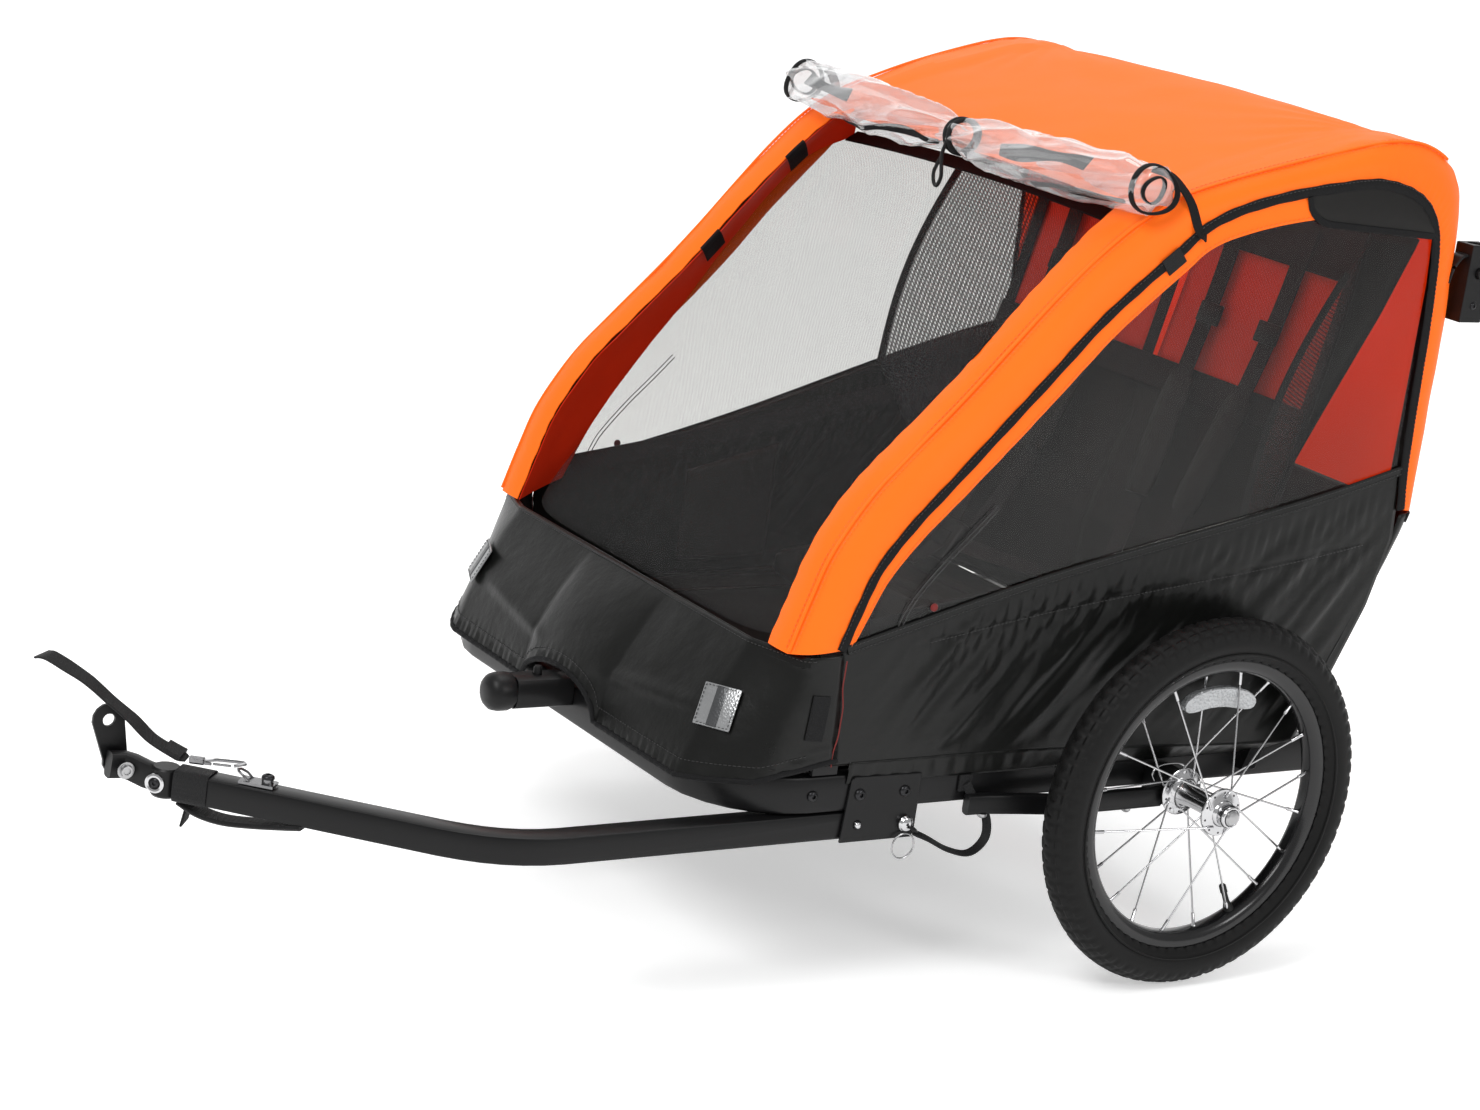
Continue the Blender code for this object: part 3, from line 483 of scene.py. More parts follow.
def cloth(name, color, rough, pitch, weave, crease, vary, sheen=0.15, glow=0.0, spec=0.4):
    """Woven cloth. pitch is the thread spacing; weave and crease are bump strengths; glow is the
    strength of a painted glow, emission in the cloth's own colour.
    """
    shader = Shader(name, color, rough, Specular_IOR_Level=spec, Sheen_Weight=sheen,
                    Sheen_Roughness=0.4)
    shader.vary(vary, scale=9, spread=0.07)
    # painted glow: emission that makes the cloth brighter than its lighting
    if glow:
        shader.set(Emission_Color=(*color, 1), Emission_Strength=glow)
    folds = shader.noise(16, 4, 0.55, shader.space((1, 0.6, 0.8)))
    shader.bump(folds, crease, 0.004)
    shader.bump(shader.noise(70, 3, 0.6), crease * 0.6, 0.0012)
    # plain weave: diagonal threads broken up by a checker
    vec = shader.space()
    checker = shader.node("TexChecker", {"Scale": 1.0 / pitch, "Vector": vec}).outputs["Fac"]
    threads = shader.math("MULTIPLY", shader.wave(0.5 / pitch, "DIAGONAL", vec), checker)
    shader.bump(threads, weave, pitch * 0.25)
    return shader.material


def film(name, clear, gloss, haze, haze_color, ripple, stretch, turn, base, ior, edge):
    """Thin clear plastic with soft ripples.

    clear tints what passes; ripple is (scale, bump strength, distance) in a stretched, turned
    space; base adds to the reflection and edge adds haze at grazing angles.
    """
    shader = Shader(name, haze_color, gloss)
    vec = shader.space(stretch, turn)
    scale, strength, distance = ripple
    shader.bump(shader.noise(scale, 2.5, 0.5, vec, 0.4), strength, distance)
    shader.bump(shader.noise(scale * 7, 2, 0.5, vec), 0.10, 0.001)
    inputs = {"Roughness": gloss, "Color": (1, 1, 1, 1), "Normal": shader.normal}
    glossy = shader.node("BsdfGlossy", inputs).outputs[0]
    weight = shader.node("LayerWeight", {"Blend": 0.5, "Normal": shader.normal})
    facing = weight.outputs["Facing"]
    # Schlick's reflection
    head_on = ((ior - 1) / (ior + 1)) ** 2
    grazing = shader.math("POWER", facing, 5.0)
    schlick = shader.math("MULTIPLY_ADD", grazing, 1 - head_on, head_on)
    cloud = shader.remap(shader.noise(22, 3, 0.6, vec), haze * 0.5, haze * 1.6)
    if edge:
        cloud = shader.math("MULTIPLY_ADD", shader.math("POWER", facing, 2.0), edge, cloud)
    body = shader.mix_shaders(cloud, shader.transparent(clear), shader.bsdf.outputs[0])
    reflection = shader.math("ADD", schlick, base)
    shader.feed(shader.out, shader.mix_shaders(reflection, body, glossy))
    return shader.material


def net(name, color, pitch, low, high):
    """Knitted net: low to high of the light passes between crossing threads."""
    shader = Shader(name, color, 0.7)
    shader.vary(0.12, scale=30, spread=0.05)
    vec = shader.space()
    scale = 0.314159 / pitch
    threads = shader.math("MULTIPLY", shader.wave(scale, "X", vec),
                          shader.wave(scale, "DIAGONAL", vec, 0.15))
    shader.bump(threads, 0.3, pitch * 0.3)
    passing = shader.remap(threads, low, high, 0.05, 0.60)
    shader.feed(shader.out, shader.mix_shaders(
        passing, shader.bsdf.outputs[0], shader.transparent((1, 1, 1))))
    return shader.material


def solid(name, color, rough, metal=0.0, shade=None, tint=None, grain=None, stretch=None,
          cells=None, **sockets):
    """Metal, plastic or rubber.

    shade is (share, scale, roughness spread), grain is (scale, detail, roughness, bump
    strength, distance) and cells is (scale, bump strength, distance).
    """
    shader = Shader(name, color, rough, metal, **sockets)
    shader.vary(*shade, tint=tint)
    if grain:
        vec = shader.space(stretch) if stretch else None
        shader.bump(shader.noise(*grain[:3], vec), *grain[3:])
    if cells:
        shader.bump(shader.cells(cells[0]), *cells[1:])
    return shader.material


def powder_coat():
    """Frame paint, a little paler where an edge is worn."""
    paint, worn = (0.0050, 0.0050, 0.0053), (0.025, 0.025, 0.026)
    shader = Shader("black_powder_coat", paint, 0.32, Specular_IOR_Level=0.22)
    shader.vary_roughness(shader.noise(20, 3, 0.55), 0.06)
    shader.bump(shader.noise(420, 2, 0.5), 0.12, 0.0004)
    pointiness = shader.node("NewGeometry", {}).outputs["Pointiness"]
    edge = shader.remap(pointiness, 0.0, 1.0, 0.54, 0.62)
    shader.set(Base_Color=shader.mix(edge, paint, worn))
    return shader.material


# glow adds emission to the orange cloth: a painted glow standing in for its fluorescence
ORANGE = cloth("orange_fabric", (1.0, 0.148, 0.008), 0.50, pitch=0.0011, weave=0.15,
               crease=0.22, vary=0.05, sheen=0.0, glow=0.12, spec=0.16)
# darker copy of the orange cloth for the roof, with less glow: painted shade on the top
ORANGE_ROOF_SHADED = cloth("orange_roof_fabric_painted_shade", (0.97, 0.155, 0.012), 0.60, pitch=0.0011,
                    weave=0.15, crease=0.16, vary=0.04, sheen=0.0, glow=0.08, spec=0.16)
# glow adds emission to the red lining: painted light in the shaded bands
RED_LINING = cloth("red_lining", (0.52, 0.022, 0.004), 0.6, pitch=0.0011, weave=0.15,
                   crease=0.2, vary=0.15, sheen=0.0, glow=0.10, spec=0.15)
# deep red cloth for the canopy's inner skin with strong glow: painted light on the shaded inner
# face
ORANGE_INSIDE_GLOW = cloth("orange_fabric_inside_painted_glow", (0.85, 0.040, 0.002), 0.6, pitch=0.0011,
                      weave=0.15, crease=0.16, vary=0.08, sheen=0.0, glow=0.50, spec=0.08)
NYLON = cloth("black_nylon", (0.0050, 0.0052, 0.0048), 0.30, pitch=0.0010, weave=0.12,
              crease=0.42, vary=0.20, sheen=0.0, spec=0.24)
NYLON_INSIDE = cloth("black_nylon_inside", (0.0085, 0.0078, 0.0072), 0.48, pitch=0.0010,
                     weave=0.18, crease=0.30, vary=0.20, sheen=0.0, spec=0.20)
BINDING = cloth("black_binding", (0.0065, 0.0065, 0.007), 0.72, pitch=0.0016, weave=0.7,
                crease=0.15, vary=0.15, sheen=0.01, spec=0.18)
WEBBING = cloth("black_webbing", (0.0085, 0.0085, 0.009), 0.64, pitch=0.0022, weave=0.9,
                crease=0.15, vary=0.2, sheen=0.02, spec=0.25)
THREAD = cloth("black_thread", (0.030, 0.030, 0.030), 0.6, pitch=0.0005, weave=0.4,
               crease=0.1, vary=0.1)
ORANGE_THREAD = cloth("orange_thread", (0.85, 0.13, 0.012), 0.6, pitch=0.0005, weave=0.4,
                      crease=0.1, vary=0.1)
CORD = cloth("red_cord", (0.16, 0.010, 0.008), 0.7, pitch=0.0006, weave=0.5, crease=0.1,
             vary=0.1)
TINTED_FILM = film("tinted_film", (0.84, 0.84, 0.83), gloss=0.10, haze=0.012,
                   haze_color=(0.03, 0.03, 0.03), ripple=(5.0, 0.16, 0.006),
                   stretch=(0.5, 2.0, 2.0), turn=(-42, 0, 0), base=0.0, ior=1.27, edge=0.0)
CLEAR_FILM = film("clear_film", (0.97, 0.972, 0.975), gloss=0.08, haze=0.19,
                  haze_color=(0.62, 0.63, 0.64), ripple=(16.0, 0.30, 0.006),
                  stretch=(0.5, 1, 1), turn=(0, 0, 0), base=0.03, ior=1.6, edge=0.55)
NET_BLACK = net("black_net", (0.016, 0.016, 0.017), pitch=0.0026, low=0.35, high=0.95)
NET_SCREEN = net("front_screen_net", (0.050, 0.050, 0.050), pitch=0.0016, low=0.80, high=0.97)
NET_RED = net("red_net", (0.88, 0.050, 0.012), pitch=0.0028, low=0.0, high=0.30)
FRAME_PAINT = powder_coat()
STEEL = solid("zinc_steel", (0.40, 0.40, 0.405), 0.30, 1.0, shade=(0.15, 60, 0.08),
              grain=(300, 2, 0.5, 0.10, 0.0002), stretch=(1, 6, 1))
CHROME = solid("chrome_plate", (0.55, 0.55, 0.56), 0.16, 1.0, shade=(0.06, 40, 0.05),
               grain=(200, 2, 0.5, 0.04, 0.0002))
# darker than the other steel: painted reflection of the dark things round the hook
HOOK_METAL = solid("hook_metal", (0.20, 0.20, 0.205), 0.24, 1.0, shade=(0.35, 160, 0.08),
                   grain=(260, 2, 0.5, 0.12, 0.0003))
BLACK_BOLT = solid("black_bolt", (0.030, 0.030, 0.032), 0.30, 0.85, shade=(0.15, 60, 0.06))
PLASTIC = solid("moulded_plastic", (0.0060, 0.0060, 0.0063), 0.42, shade=(0.15, 30, 0.05),
                grain=(900, 2, 0.5, 0.25, 0.0003), Specular_IOR_Level=0.24)
TYRE = solid("tyre_rubber", (0.0042, 0.0042, 0.0043), 0.58, shade=(0.35, 26, 0.08),
             tint=(0.0075, 0.0074, 0.0072), grain=(500, 3, 0.6, 0.25, 0.0004),
             Specular_IOR_Level=0.18)
RIM_PAINT = solid("rim_paint", (0.006, 0.006, 0.0065), 0.24, 0.1, shade=(0.15, 30, 0.05),
                  Coat_Weight=0.15, Specular_IOR_Level=0.4)
REFLECTOR = solid("clear_reflector", (0.42, 0.43, 0.44), 0.16, 0.25, shade=(0.12, 60, 0.05),
                  cells=(330, 0.9, 0.0012), Coat_Weight=0.4)
TAPE = solid("reflective_tape", (0.34, 0.345, 0.35), 0.32, 0.75, shade=(0.12, 50, 0.06),
             cells=(420, 0.5, 0.0006))
TAPE_DARK = solid("reflective_tape_dark", (0.075, 0.077, 0.08), 0.36, 0.6,
                  shade=(0.12, 50, 0.06), cells=(420, 0.5, 0.0006))
VALVE_RUBBER = solid("rubber_valve", (0.008, 0.008, 0.008), 0.6, shade=(0.2, 60, 0.05),
                     Specular_IOR_Level=0.3)
HOOK_AND_LOOP = solid("hook_and_loop", (0.0095, 0.0095, 0.010), 0.95,
                      shade=(0.3, 200, 0.03), grain=(1400, 2, 0.7, 0.9, 0.0010),
                      Sheen_Weight=0.06, Specular_IOR_Level=0.2)

# the slot of each material, which make() looks up when a piece names none; nothing keeps it
SLOT_MATERIALS = {
    "orange_cover": (ORANGE, RED_LINING, ORANGE_THREAD),
    "nylon_black": (NYLON, NYLON_INSIDE, NET_RED),
    "webbing": (BINDING, WEBBING, THREAD, CORD, NET_BLACK, NET_SCREEN, HOOK_AND_LOOP),
    "tinted_window": (TINTED_FILM,),
    "clear_film": (CLEAR_FILM, REFLECTOR),
    "frame_black": (FRAME_PAINT, BLACK_BOLT),
    "steel": (STEEL, TAPE, TAPE_DARK),
    "chrome": (CHROME,),
    "plastic_black": (PLASTIC,),
    "tyre": (TYRE, VALVE_RUBBER),
    "rim_black": (RIM_PAINT,),
}
SLOT_OF = {mat.name: slot for slot, mats in SLOT_MATERIALS.items() for mat in mats}


# ---------------------------------------------------------------- making pieces
def make(name, shape, material, body=None, slot=None, sharp=35, replaces=None, shift=True):
    """Object from a shape in drawing coordinates. Edges over sharp degrees stay crisp."""
    verts, faces = shape
    verts = np.array(verts, float).reshape(-1, 3)
    if shift:
        verts = verts + (0.0, AXLE_Y, 0.0)
    mesh = bpy.data.meshes.new(name)
    bm = bmesh.new()
    made = [bm.verts.new(v) for v in verts]
    for face in faces:
        # passes over a face that is already there or that repeats a vertex
        try:
            bm.faces.new([made[i] for i in face])
        except ValueError:
            pass
    bmesh.ops.recalc_face_normals(bm, faces=bm.faces)
    bm.to_mesh(mesh)
    bm.free()
    piece = bpy.data.objects.new(name, mesh)
    scene.collection.objects.link(piece)
    mesh.materials.append(material)
    mesh.shade_smooth()
    if sharp:
        mesh.set_sharp_from_angle(angle=math.radians(sharp))
    if body:
        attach(piece, body)
    slot = slot or SLOT_OF.get(material.name)
    if replaces:
        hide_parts(replaces)
    return piece


def make_soft(name, shape, material, keep=0.38, **options):
    """Fabric piece attached to the root body, with a mesh of its own."""
    piece = make(name, shape, material, **options)
    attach(piece, "root")
    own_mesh(piece)


def wrap_corner(piece):
    """Fabric piece whose placement is baked into its mesh."""
    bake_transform(piece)


def make_wrapped(name, shape, material, **options):
    wrap_corner(make(name, shape, material, **options))


def both_sides(build):
    for side, sign in SIDES:
        build(side, sign)


# ------------------------------------------------------ carried-over CAD parts
def dress(node, material, bevel):
    """CAD part with its material, and an eased edge where light catches it."""
    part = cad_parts[node]
    part.data.materials.clear()
    part.data.materials.append(material)
    if "custom_normal" in part.data.attributes:
        part.data.attributes.remove(part.data.attributes["custom_normal"])
    for polygon in part.data.polygons:
        polygon.use_smooth = True
    part.modifiers.new("weld", "WELD").merge_threshold = 0.00001
    if bevel:
        ease_edge = part.modifiers.new("ease", "BEVEL")
        ease_edge.width = bevel
        ease_edge.segments = 2
        ease_edge.limit_method = "ANGLE"
        ease_edge.angle_limit = math.radians(32)
        ease_edge.harden_normals = True
        ease_edge.use_clamp_overlap = True


# material, bevel width, CAD parts
CAD_DRESS = (
    (FRAME_PAINT, 0.0007, "main_frame outrigger_L outrigger_R axle_receiver_L axle_receiver_R "
     "tow_bracket_outer tow_bracket_inner receiver_tube hoop_hinge_L hoop_hinge_R rear_leg_L "
     "rear_leg_R hitch_plate tow_arm front_roof_bar rear_roof_bar upright_L upright_R"),
    (FRAME_PAINT, 0.0, "hoop_L hoop_R"),
    (PLASTIC, 0.0012, "receiver_plug receiver_button coupler handle_socket_L handle_socket_R "
     "socket_button_L socket_button_R"),
    (HOOK_METAL, 0.0003, "snap_hook hook_gate strap_anchor"),
    (CHROME, 0.0003, "lock_pin arm_button axle_L axle_R"),
    (STEEL, 0.0003, "hitch_bolt release_button_L release_button_R pin_ring"),
)
for material, bevel, nodes in CAD_DRESS:
    for node in nodes.split():
        dress(node, material, bevel)


# ---------------------------------------------------------------------- canopy
def canopy_grid(u):
    """Points over the canopy from the L edge to the R edge.

    Each half has columns for the side, the lip of the band and the roof. Also gives each
    column's share of the side and of the lip.
    """
    ridge, outward = profile(RIDGE, u)
    edge = catmull(EDGE, u)
    half_width = side_x(edge[:, 0])
    side_t = np.linspace(0, 1, 19)
    lip_t = np.linspace(0, 1, 8)[1:]
    roof_t = np.linspace(0, 1, 37)[1:]
    columns = [with_x(half_width - BAND_IN * t ** 2.8, edge + (ridge - edge) * t)
               for t in side_t]
    for t in lip_t:
        columns.append(with_x((half_width - BAND_IN) * (1 - t) + ROOF_X * t,
                              ridge + outward * 0.0025 * math.sin(PI * t)))
    crown = 0.0062 - 0.003 * smoothstep(16, 18.5, u)
    for t in roof_t:
        rise = crown * (1 - (1 - t) ** 2)
        columns.append(with_x(ROOF_X * (1 - t), ridge + outward * rise[:, None]))
    half = np.stack(columns, 1)
    grid = np.concatenate([half, half[:, :-1][:, ::-1] * (-1, 1, 1)], 1)
    side_share = np.concatenate([side_t, np.ones(7 + 36)])
    lip_share = np.concatenate([np.zeros(19), lip_t, np.ones(36)])
    return grid, *(np.concatenate([s, s[:-1][::-1]]) for s in (side_share, lip_share))


def canopy_relief(grid, u, side_share, lip_share):
    """Height of the folds over the smooth canopy."""
    # soft unevenness of the stretched cloth
    slow = noise_at(grid, (7, 8, 8), 3.1) * 0.0022 + noise_at(grid, (19, 21, 21), 8.4) * 0.0008
    relief = slow * np.minimum(1, side_share * 2.0)
    # short gathers at the bound edges
    run = u[:, None] * 0.058
    gathers = np.sin(run * 2 * PI / 0.021 + 3 * noise_at(grid, (9, 9, 9), 1.0))
    gathers = gathers * (0.35 + 0.65 * np.abs(noise_at(grid, (6, 6, 6), 5.0)))
    relief = relief + 0.0010 * gathers * (side_share < 0.999) * bell(side_share - 0.22, 0.20)
    # waves on the inner lip of the two bands
    lip = bell(1 - lip_share, 0.35) * (lip_share > 0) * (u < 10)[:, None]
    waves = np.sin(run * 2 * PI / 0.030 + 5 * noise_at(grid, (11, 11, 11), 2.0))
    relief = relief + 0.0005 * waves * lip
    # fine drag lines that fan from the rear corners over the roof
    away = grid - points(np.sign(grid[..., 0]) * 0.30, 0.20, 0.86)
    distance = np.linalg.norm(away, axis=-1)
    angle = np.arctan2(away[..., 1], np.abs(away[..., 0]) + 1e-6)
    relief = relief + (0.0009 * np.sin(angle * 26) * bell(distance - 0.10, 0.08)
                       * (side_share > 0.9))
    relief[:, 0] = relief[:, -1] = 0
    return relief


def build_canopy():
    u = np.linspace(0, LAST, LAST * 8 + 1)
    grid, side_share, lip_share = canopy_grid(u)
    normal = normals_of(grid)
    if normal[96, 59] @ (grid[96, 59] - (0, 0, 0.6)) < 0:
        normal = -normal
    grid = grid + normal * canopy_relief(grid, u, side_share, lip_share)[..., None]
    # the roof is open between the bands up to station 9.2
    columns = grid.shape[1]
    band_columns = 19 + 7 - 1
    keep = np.ones((len(u) - 1, columns - 1), bool)
    keep[u[:-1] < 9.20, :] = False
    keep[:, :band_columns] = True
    keep[:, columns - 1 - band_columns:] = True
    canopy = make("canopy_cover", shell(grid, 0.0012, normal, keep), ORANGE, sharp=60)
    canopy.data.materials.append(ORANGE_ROOF_SHADED)
    canopy.data.materials.append(ORANGE_INSIDE_GLOW)
    # sheet faces alternate between the outer and the inner skin
    sheet_faces = 2 * int(keep.sum())
    for face in canopy.data.polygons:
        x, y, z = face.center
        # faces on the roof take the darker orange copy: painted shade on the top
        if abs(x) < 0.287 and z > 0.80 and y - AXLE_Y < 0.262:
            face.material_index = 1
        # faces of the inner skin take the glowing red copy: painted light inside the canopy
        if face.index < sheet_faces and face.index % 2:
            face.material_index = 2
    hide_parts("canopy")
    wrap_corner(canopy)


def canopy_seam(side, sign):
    """Raised seam on the crest of a band, over the hoop, with a stitch line on each side."""
    u = np.linspace(0.05, 17.0, 220)
    ridge, outward = profile(RIDGE, u)
    edge = catmull(EDGE, u)
    path = with_x(sign * (side_x(edge[:, 0]) - 0.0185), ridge + outward * 0.0003)
    make_wrapped("canopy_seam_" + side, tube(path, 0.0016, 8), ORANGE)
    ref = with_x(0.0, outward)
    for number, out in ((1, -0.0052), (2, 0.0040)):
        line = path + (sign * out, 0, 0) + ref * 0.0004
        if out > 0:
            line[:, 1:] += (edge - ridge) * 0.06
        make_wrapped("canopy_stitch_%s%d" % (side, number),
                     stitches(line, ref, 0.0032, 0.0022), ORANGE_THREAD, sharp=0)


def band_lining(side, sign):
    """Red lining inside a hoop band, with its two black tabs."""
    u = np.linspace(0.0, 10.0, 90)
    ridge, outward = profile(RIDGE, u)
    start = ridge - outward * 0.0030
    inner = catmull(BAND_INNER, u * 0.6)
    rows = []
    for t in np.linspace(0, 1, 9):
        x = 0.2568 + (0.2850 - 0.2568) * t + 0.003 * math.sin(PI * t)
        rows.append(with_x(sign * x, start + (inner - start) * t))
    grid = np.stack(rows, 1)
    grid[..., 0] += sign * 0.0012 * noise_at(grid, (30, 30, 30), 4.0)
    make("band_lining_" + side, shell(grid, 0.0010), RED_LINING, "upper_frame", sharp=60)
    # tab section: x, height over the ridge
    section = ((0.2565, 0.0004), (0.2552, -0.0008), (0.2550, -0.004),
               (0.2585, -0.011), (0.2625, -0.017), (0.2670, -0.024))
    for number, (first, last) in enumerate(((5.6, 6.05), (7.75, 8.25))):
        ridge, outward = profile(RIDGE, np.linspace(first, last, 5))
        rows = [with_x(sign * x, ridge + outward * height) for x, height in section]
        make("band_tab_%s%d" % (side, number + 1), shell(np.stack(rows, 1), 0.0012), BINDING,
             "upper_frame")


def side_binding(side, sign):
    """Black binding round a side, from the hoop's foot over the roof to the rear edge."""
    facing = (sign, 0, 0)
    u = np.linspace(0.0, LAST, 420)
    edge, outward = profile(EDGE, u)
    path = on_side(sign, *edge.T, 0.0010)
    width = 0.0110 + 0.0006 * np.sin(u * 9)
    make_wrapped("binding_" + side, ribbon(path, width, 0.0030, facing, 0.45), BINDING,
                 sharp=50)
    line = path + with_x(0.0, outward) * 0.0040 + (sign * 0.0015, 0, 0)
    make_wrapped("binding_stitch_" + side, stitches(line, facing, 0.0028, 0.0020), THREAD,
                 sharp=0)
    # webbing tab on the binding where the roof begins
    edge = catmull(EDGE, np.linspace(8.55, 9.05, 6))
    path = on_side(sign, *edge.T, 0.0030) + (0, 0.002, -0.001)
    make("zip_garage_" + side, ribbon(path, 0.0190, 0.0022, facing), WEBBING, "upper_frame")


build_canopy()
both_sides(canopy_seam)
both_sides(band_lining)
both_sides(side_binding)

# ------------------------------------------------- side windows and their border
EDGE_DENSE = catmull(EDGE, np.linspace(0, LAST, 600))


def window_border(side, sign):
    """Orange border just inside the binding."""
    facing = (sign, 0, 0)
    u = np.linspace(0.12, 13.6, 240)
    edge, outward = profile(EDGE, u)
    width = np.interp(u, [0, 0.6, 2, 5, 8, 9.4, 11, 12.6, 13.6],
                      [.010, .014, .0185, .0235, .0225, .0215, .0270, .0300, .0290])
    rows = []
    for t in np.linspace(0, 1, 8):
        inset = 0.0035 + (width - 0.0035) * t
        yz = edge - outward * inset[:, None]
        rows.append(on_side(sign, *yz.T, 0.0002 + 0.0010 * math.sin(PI * t)))
    grid = np.stack(rows, 1)
    grid[..., 0] += sign * 0.0005 * noise_at(grid, (40, 60, 60), 6.0)
    make_soft("window_border_" + side, shell(grid, 0.0012, facing), ORANGE, sharp=60)
    yz = edge - outward * (width - 0.0030)[:, None]
    line = on_side(sign, *yz.T, 0.0011)
    make_soft("window_border_stitch_" + side, stitches(line, facing, 0.0032, 0.0024),
              ORANGE_THREAD, sharp=0)


def window_sheet(side, sign):
    """Tinted sheet with slanting ripples that die out at its edges."""
    lengthwise = np.linspace(0, 1, 110)
    upward = np.linspace(0, 1, 44)
    y = -0.428 + (0.2350 + 0.428) * (0.5 - 0.5 * np.cos(np.linspace(0, PI, 110)))
    low = along(WINDOW_FOOT, y) + 0.0005
    high = np.maximum(along(EDGE_DENSE, y) - 0.0045, low + 0.002)
    grid = on_side(sign, y[:, None], low[:, None] + (high - low)[:, None] * upward, -0.0012)
    x, y, z = np.moveaxis(grid, -1, 0)
    slanted = points(x, y * 0.74 + z * 0.67, -y * 0.67 + z * 0.74)
    ripple = (noise_at(slanted, (1, 3.0, 12), 2.0 + sign) * 0.0016
              + noise_at(slanted, (1, 9, 30), 7.0 + sign) * 0.00012)
    fade = ease(upward, 6) * ease(lengthwise, 9)[:, None]
    grid[..., 0] += sign * (ripple * fade - 0.0010 * fade)
    make_soft("window_sheet_" + side, shell(grid, 0.0006, (sign, 0, 0)), TINTED_FILM,
              sharp=0, replaces="side_window_" + side)


def window_flap(side, sign):
    """Dark flap at the top rear corner of the window. Its front lower corner is round."""
    facing = (sign, 0, 0)
    low, corner_y, corner_radius = 0.803, 0.075, 0.035
    y = np.linspace(0.040, 0.2225, 46)
    top = along(EDGE_DENSE, y) - 0.0040
    arc = np.sqrt(np.clip(1 - ((corner_y - y) / corner_radius) ** 2, 0, 1))
    bottom = np.where(y < corner_y, low + (0.832 - low) * (1 - arc),
                      low - 0.006 * (y - corner_y) / 0.115)
    bottom = np.minimum(bottom, top - 0.0008)
    rows = [on_side(sign, y, bottom + (top - bottom) * t, 0.0012 + 0.0016 * math.sin(PI * t))
            for t in np.linspace(0, 1, 9)]
    make_soft("window_flap_" + side, shell(np.stack(rows, 1), 0.0014, facing), NYLON_INSIDE)
    hem = on_side(sign, y, bottom, 0.0018)
    make_soft("window_flap_hem_" + side, ribbon(hem, 0.0075, 0.0028, facing, 0.45), BINDING)


def window_seam(side, sign):
    """Double line that runs down inside the window's front border."""
    u = np.linspace(0.5, 4.3, 100)
    edge, outward = profile(EDGE, u)
    inset = 0.052 + 0.010 * np.sin(u / 8.7 * PI)
    yz = edge - outward * inset[:, None]
    inside = yz[:, 1] > along(WINDOW_FOOT, yz[:, 0]) + 0.004
    path = on_side(sign, *yz.T, 0.0004)[inside]
    across = with_x(0.0, outward)[inside]
    lines = [tube(path + across * offset, 0.00055, 6) for offset in (0.0022, -0.0022)]
    make_soft("window_seam_" + side, join(*lines), THREAD)


def window_rivet(side, sign):
    stations = [(-0.001, 0.0040), (0.0002, 0.0042), (0.0014, 0.0034), (0.0018, 0.0012)]
    centre = on_side(sign, -0.330, 0.4020, -0.0002)
    make_soft("window_rivet_" + side, lathe(stations, centre, (sign, 0, 0), 20), CORD)


for side, sign in SIDES:
    window_border(side, sign)
    window_sheet(side, sign)
    window_flap(side, sign)
    window_seam(side, sign)
both_sides(window_rivet)


# ----------------------------------------------------------- black side panels
def side_panel(side, sign):
    """Black cloth under the window, with its hem and stitching."""
    facing = (sign, 0, 0)
    f = np.linspace(0, 1, 150)[:, None]     # front to rear
    t = np.linspace(0, 1, 56)[None, :]      # bottom to top
    y_top = -0.4335 + (WINDOW_REAR + 0.4335) * f
    y_low = -0.4210 + (0.1480 + 0.4210) * f
    z_top = along(WINDOW_FOOT, y_top) - 0.0005
    belly = 0.030 * f ** 3 * np.interp(t, [0, .25, .5, .75, 1], [0.0, 0.55, 0.95, 0.90, 0.0])
    y = y_low + (y_top - y_low) * t + belly
    z = CLOTH_FOOT + (z_top - CLOTH_FOOT) * t
    # long diagonal drag lines
    slanted = points(y * 0.62 + z * 0.78, -y * 0.78 + z * 0.62, 0.0)
    drag = (noise_at(slanted, (7, 44, 1), 1.5 + sign)
            + 0.5 * noise_at(slanted, (15, 95, 1), 4.0 + sign))
    drag = drag * (smoothstep(0.0, 0.25, f) * smoothstep(0.0, 0.15, t)
                   * smoothstep(0.0, 0.22, 1 - t))
    # short gathers under the seam, and between it and the window
    seam_z = along(PANEL_SEAM, y)
    under = np.exp(-np.clip((seam_z - z) / 0.022, 0, 9)) * (z < seam_z)
    between = bell(z - (seam_z + along(WINDOW_FOOT, y)) / 2, 0.020)
    gathers = np.sin(y * 2 * PI / 0.0145 + 3.5 * noise_at(slanted, (16, 16, 1), 9.0))
    gathers = gathers * (under + 0.8 * between) * smoothstep(0.05, 0.25, f)
    relief = np.clip(0.0034 * drag + 0.0012 * gathers, -0.0034, 0.0042)
    # the seam pulls the cloth in by a hair
    relief = relief - 0.0010 * bell(z - seam_z, 0.0022) * smoothstep(0.10, 0.2, f)
    grid = on_side(sign, y, z, relief * ease(f, 14) * ease(t, 12, 0.15) - 0.0006)
    make_soft("side_panel_cloth_" + side, shell(grid, 0.0010, facing), NYLON, sharp=0,
              replaces="side_panel_" + side)
    # hem tape over the upper edge, and two lines of stitching on it
    y = np.linspace(-0.428, WINDOW_REAR, 160)
    path = on_side(sign, y, along(WINDOW_FOOT, y) - 0.0005, 0.0006)
    make_soft("panel_hem_" + side, ribbon(path, 0.0110, 0.0020, facing, 0.45), NYLON)
    lines = [stitches(path + (sign * 0.0012, 0, rise), facing) for rise in (-0.0030, 0.0030)]
    make_soft("panel_hem_stitch_" + side, join(*lines), THREAD, slot="nylon_black", sharp=0)
    y = np.linspace(-0.330, 0.200, 130)
    path = on_side(sign, y, along(PANEL_SEAM, y), 0.0006)
    make_soft("panel_seam_stitch_" + side, stitches(path, facing), THREAD,
              slot="nylon_black", sharp=0)


both_sides(side_panel)


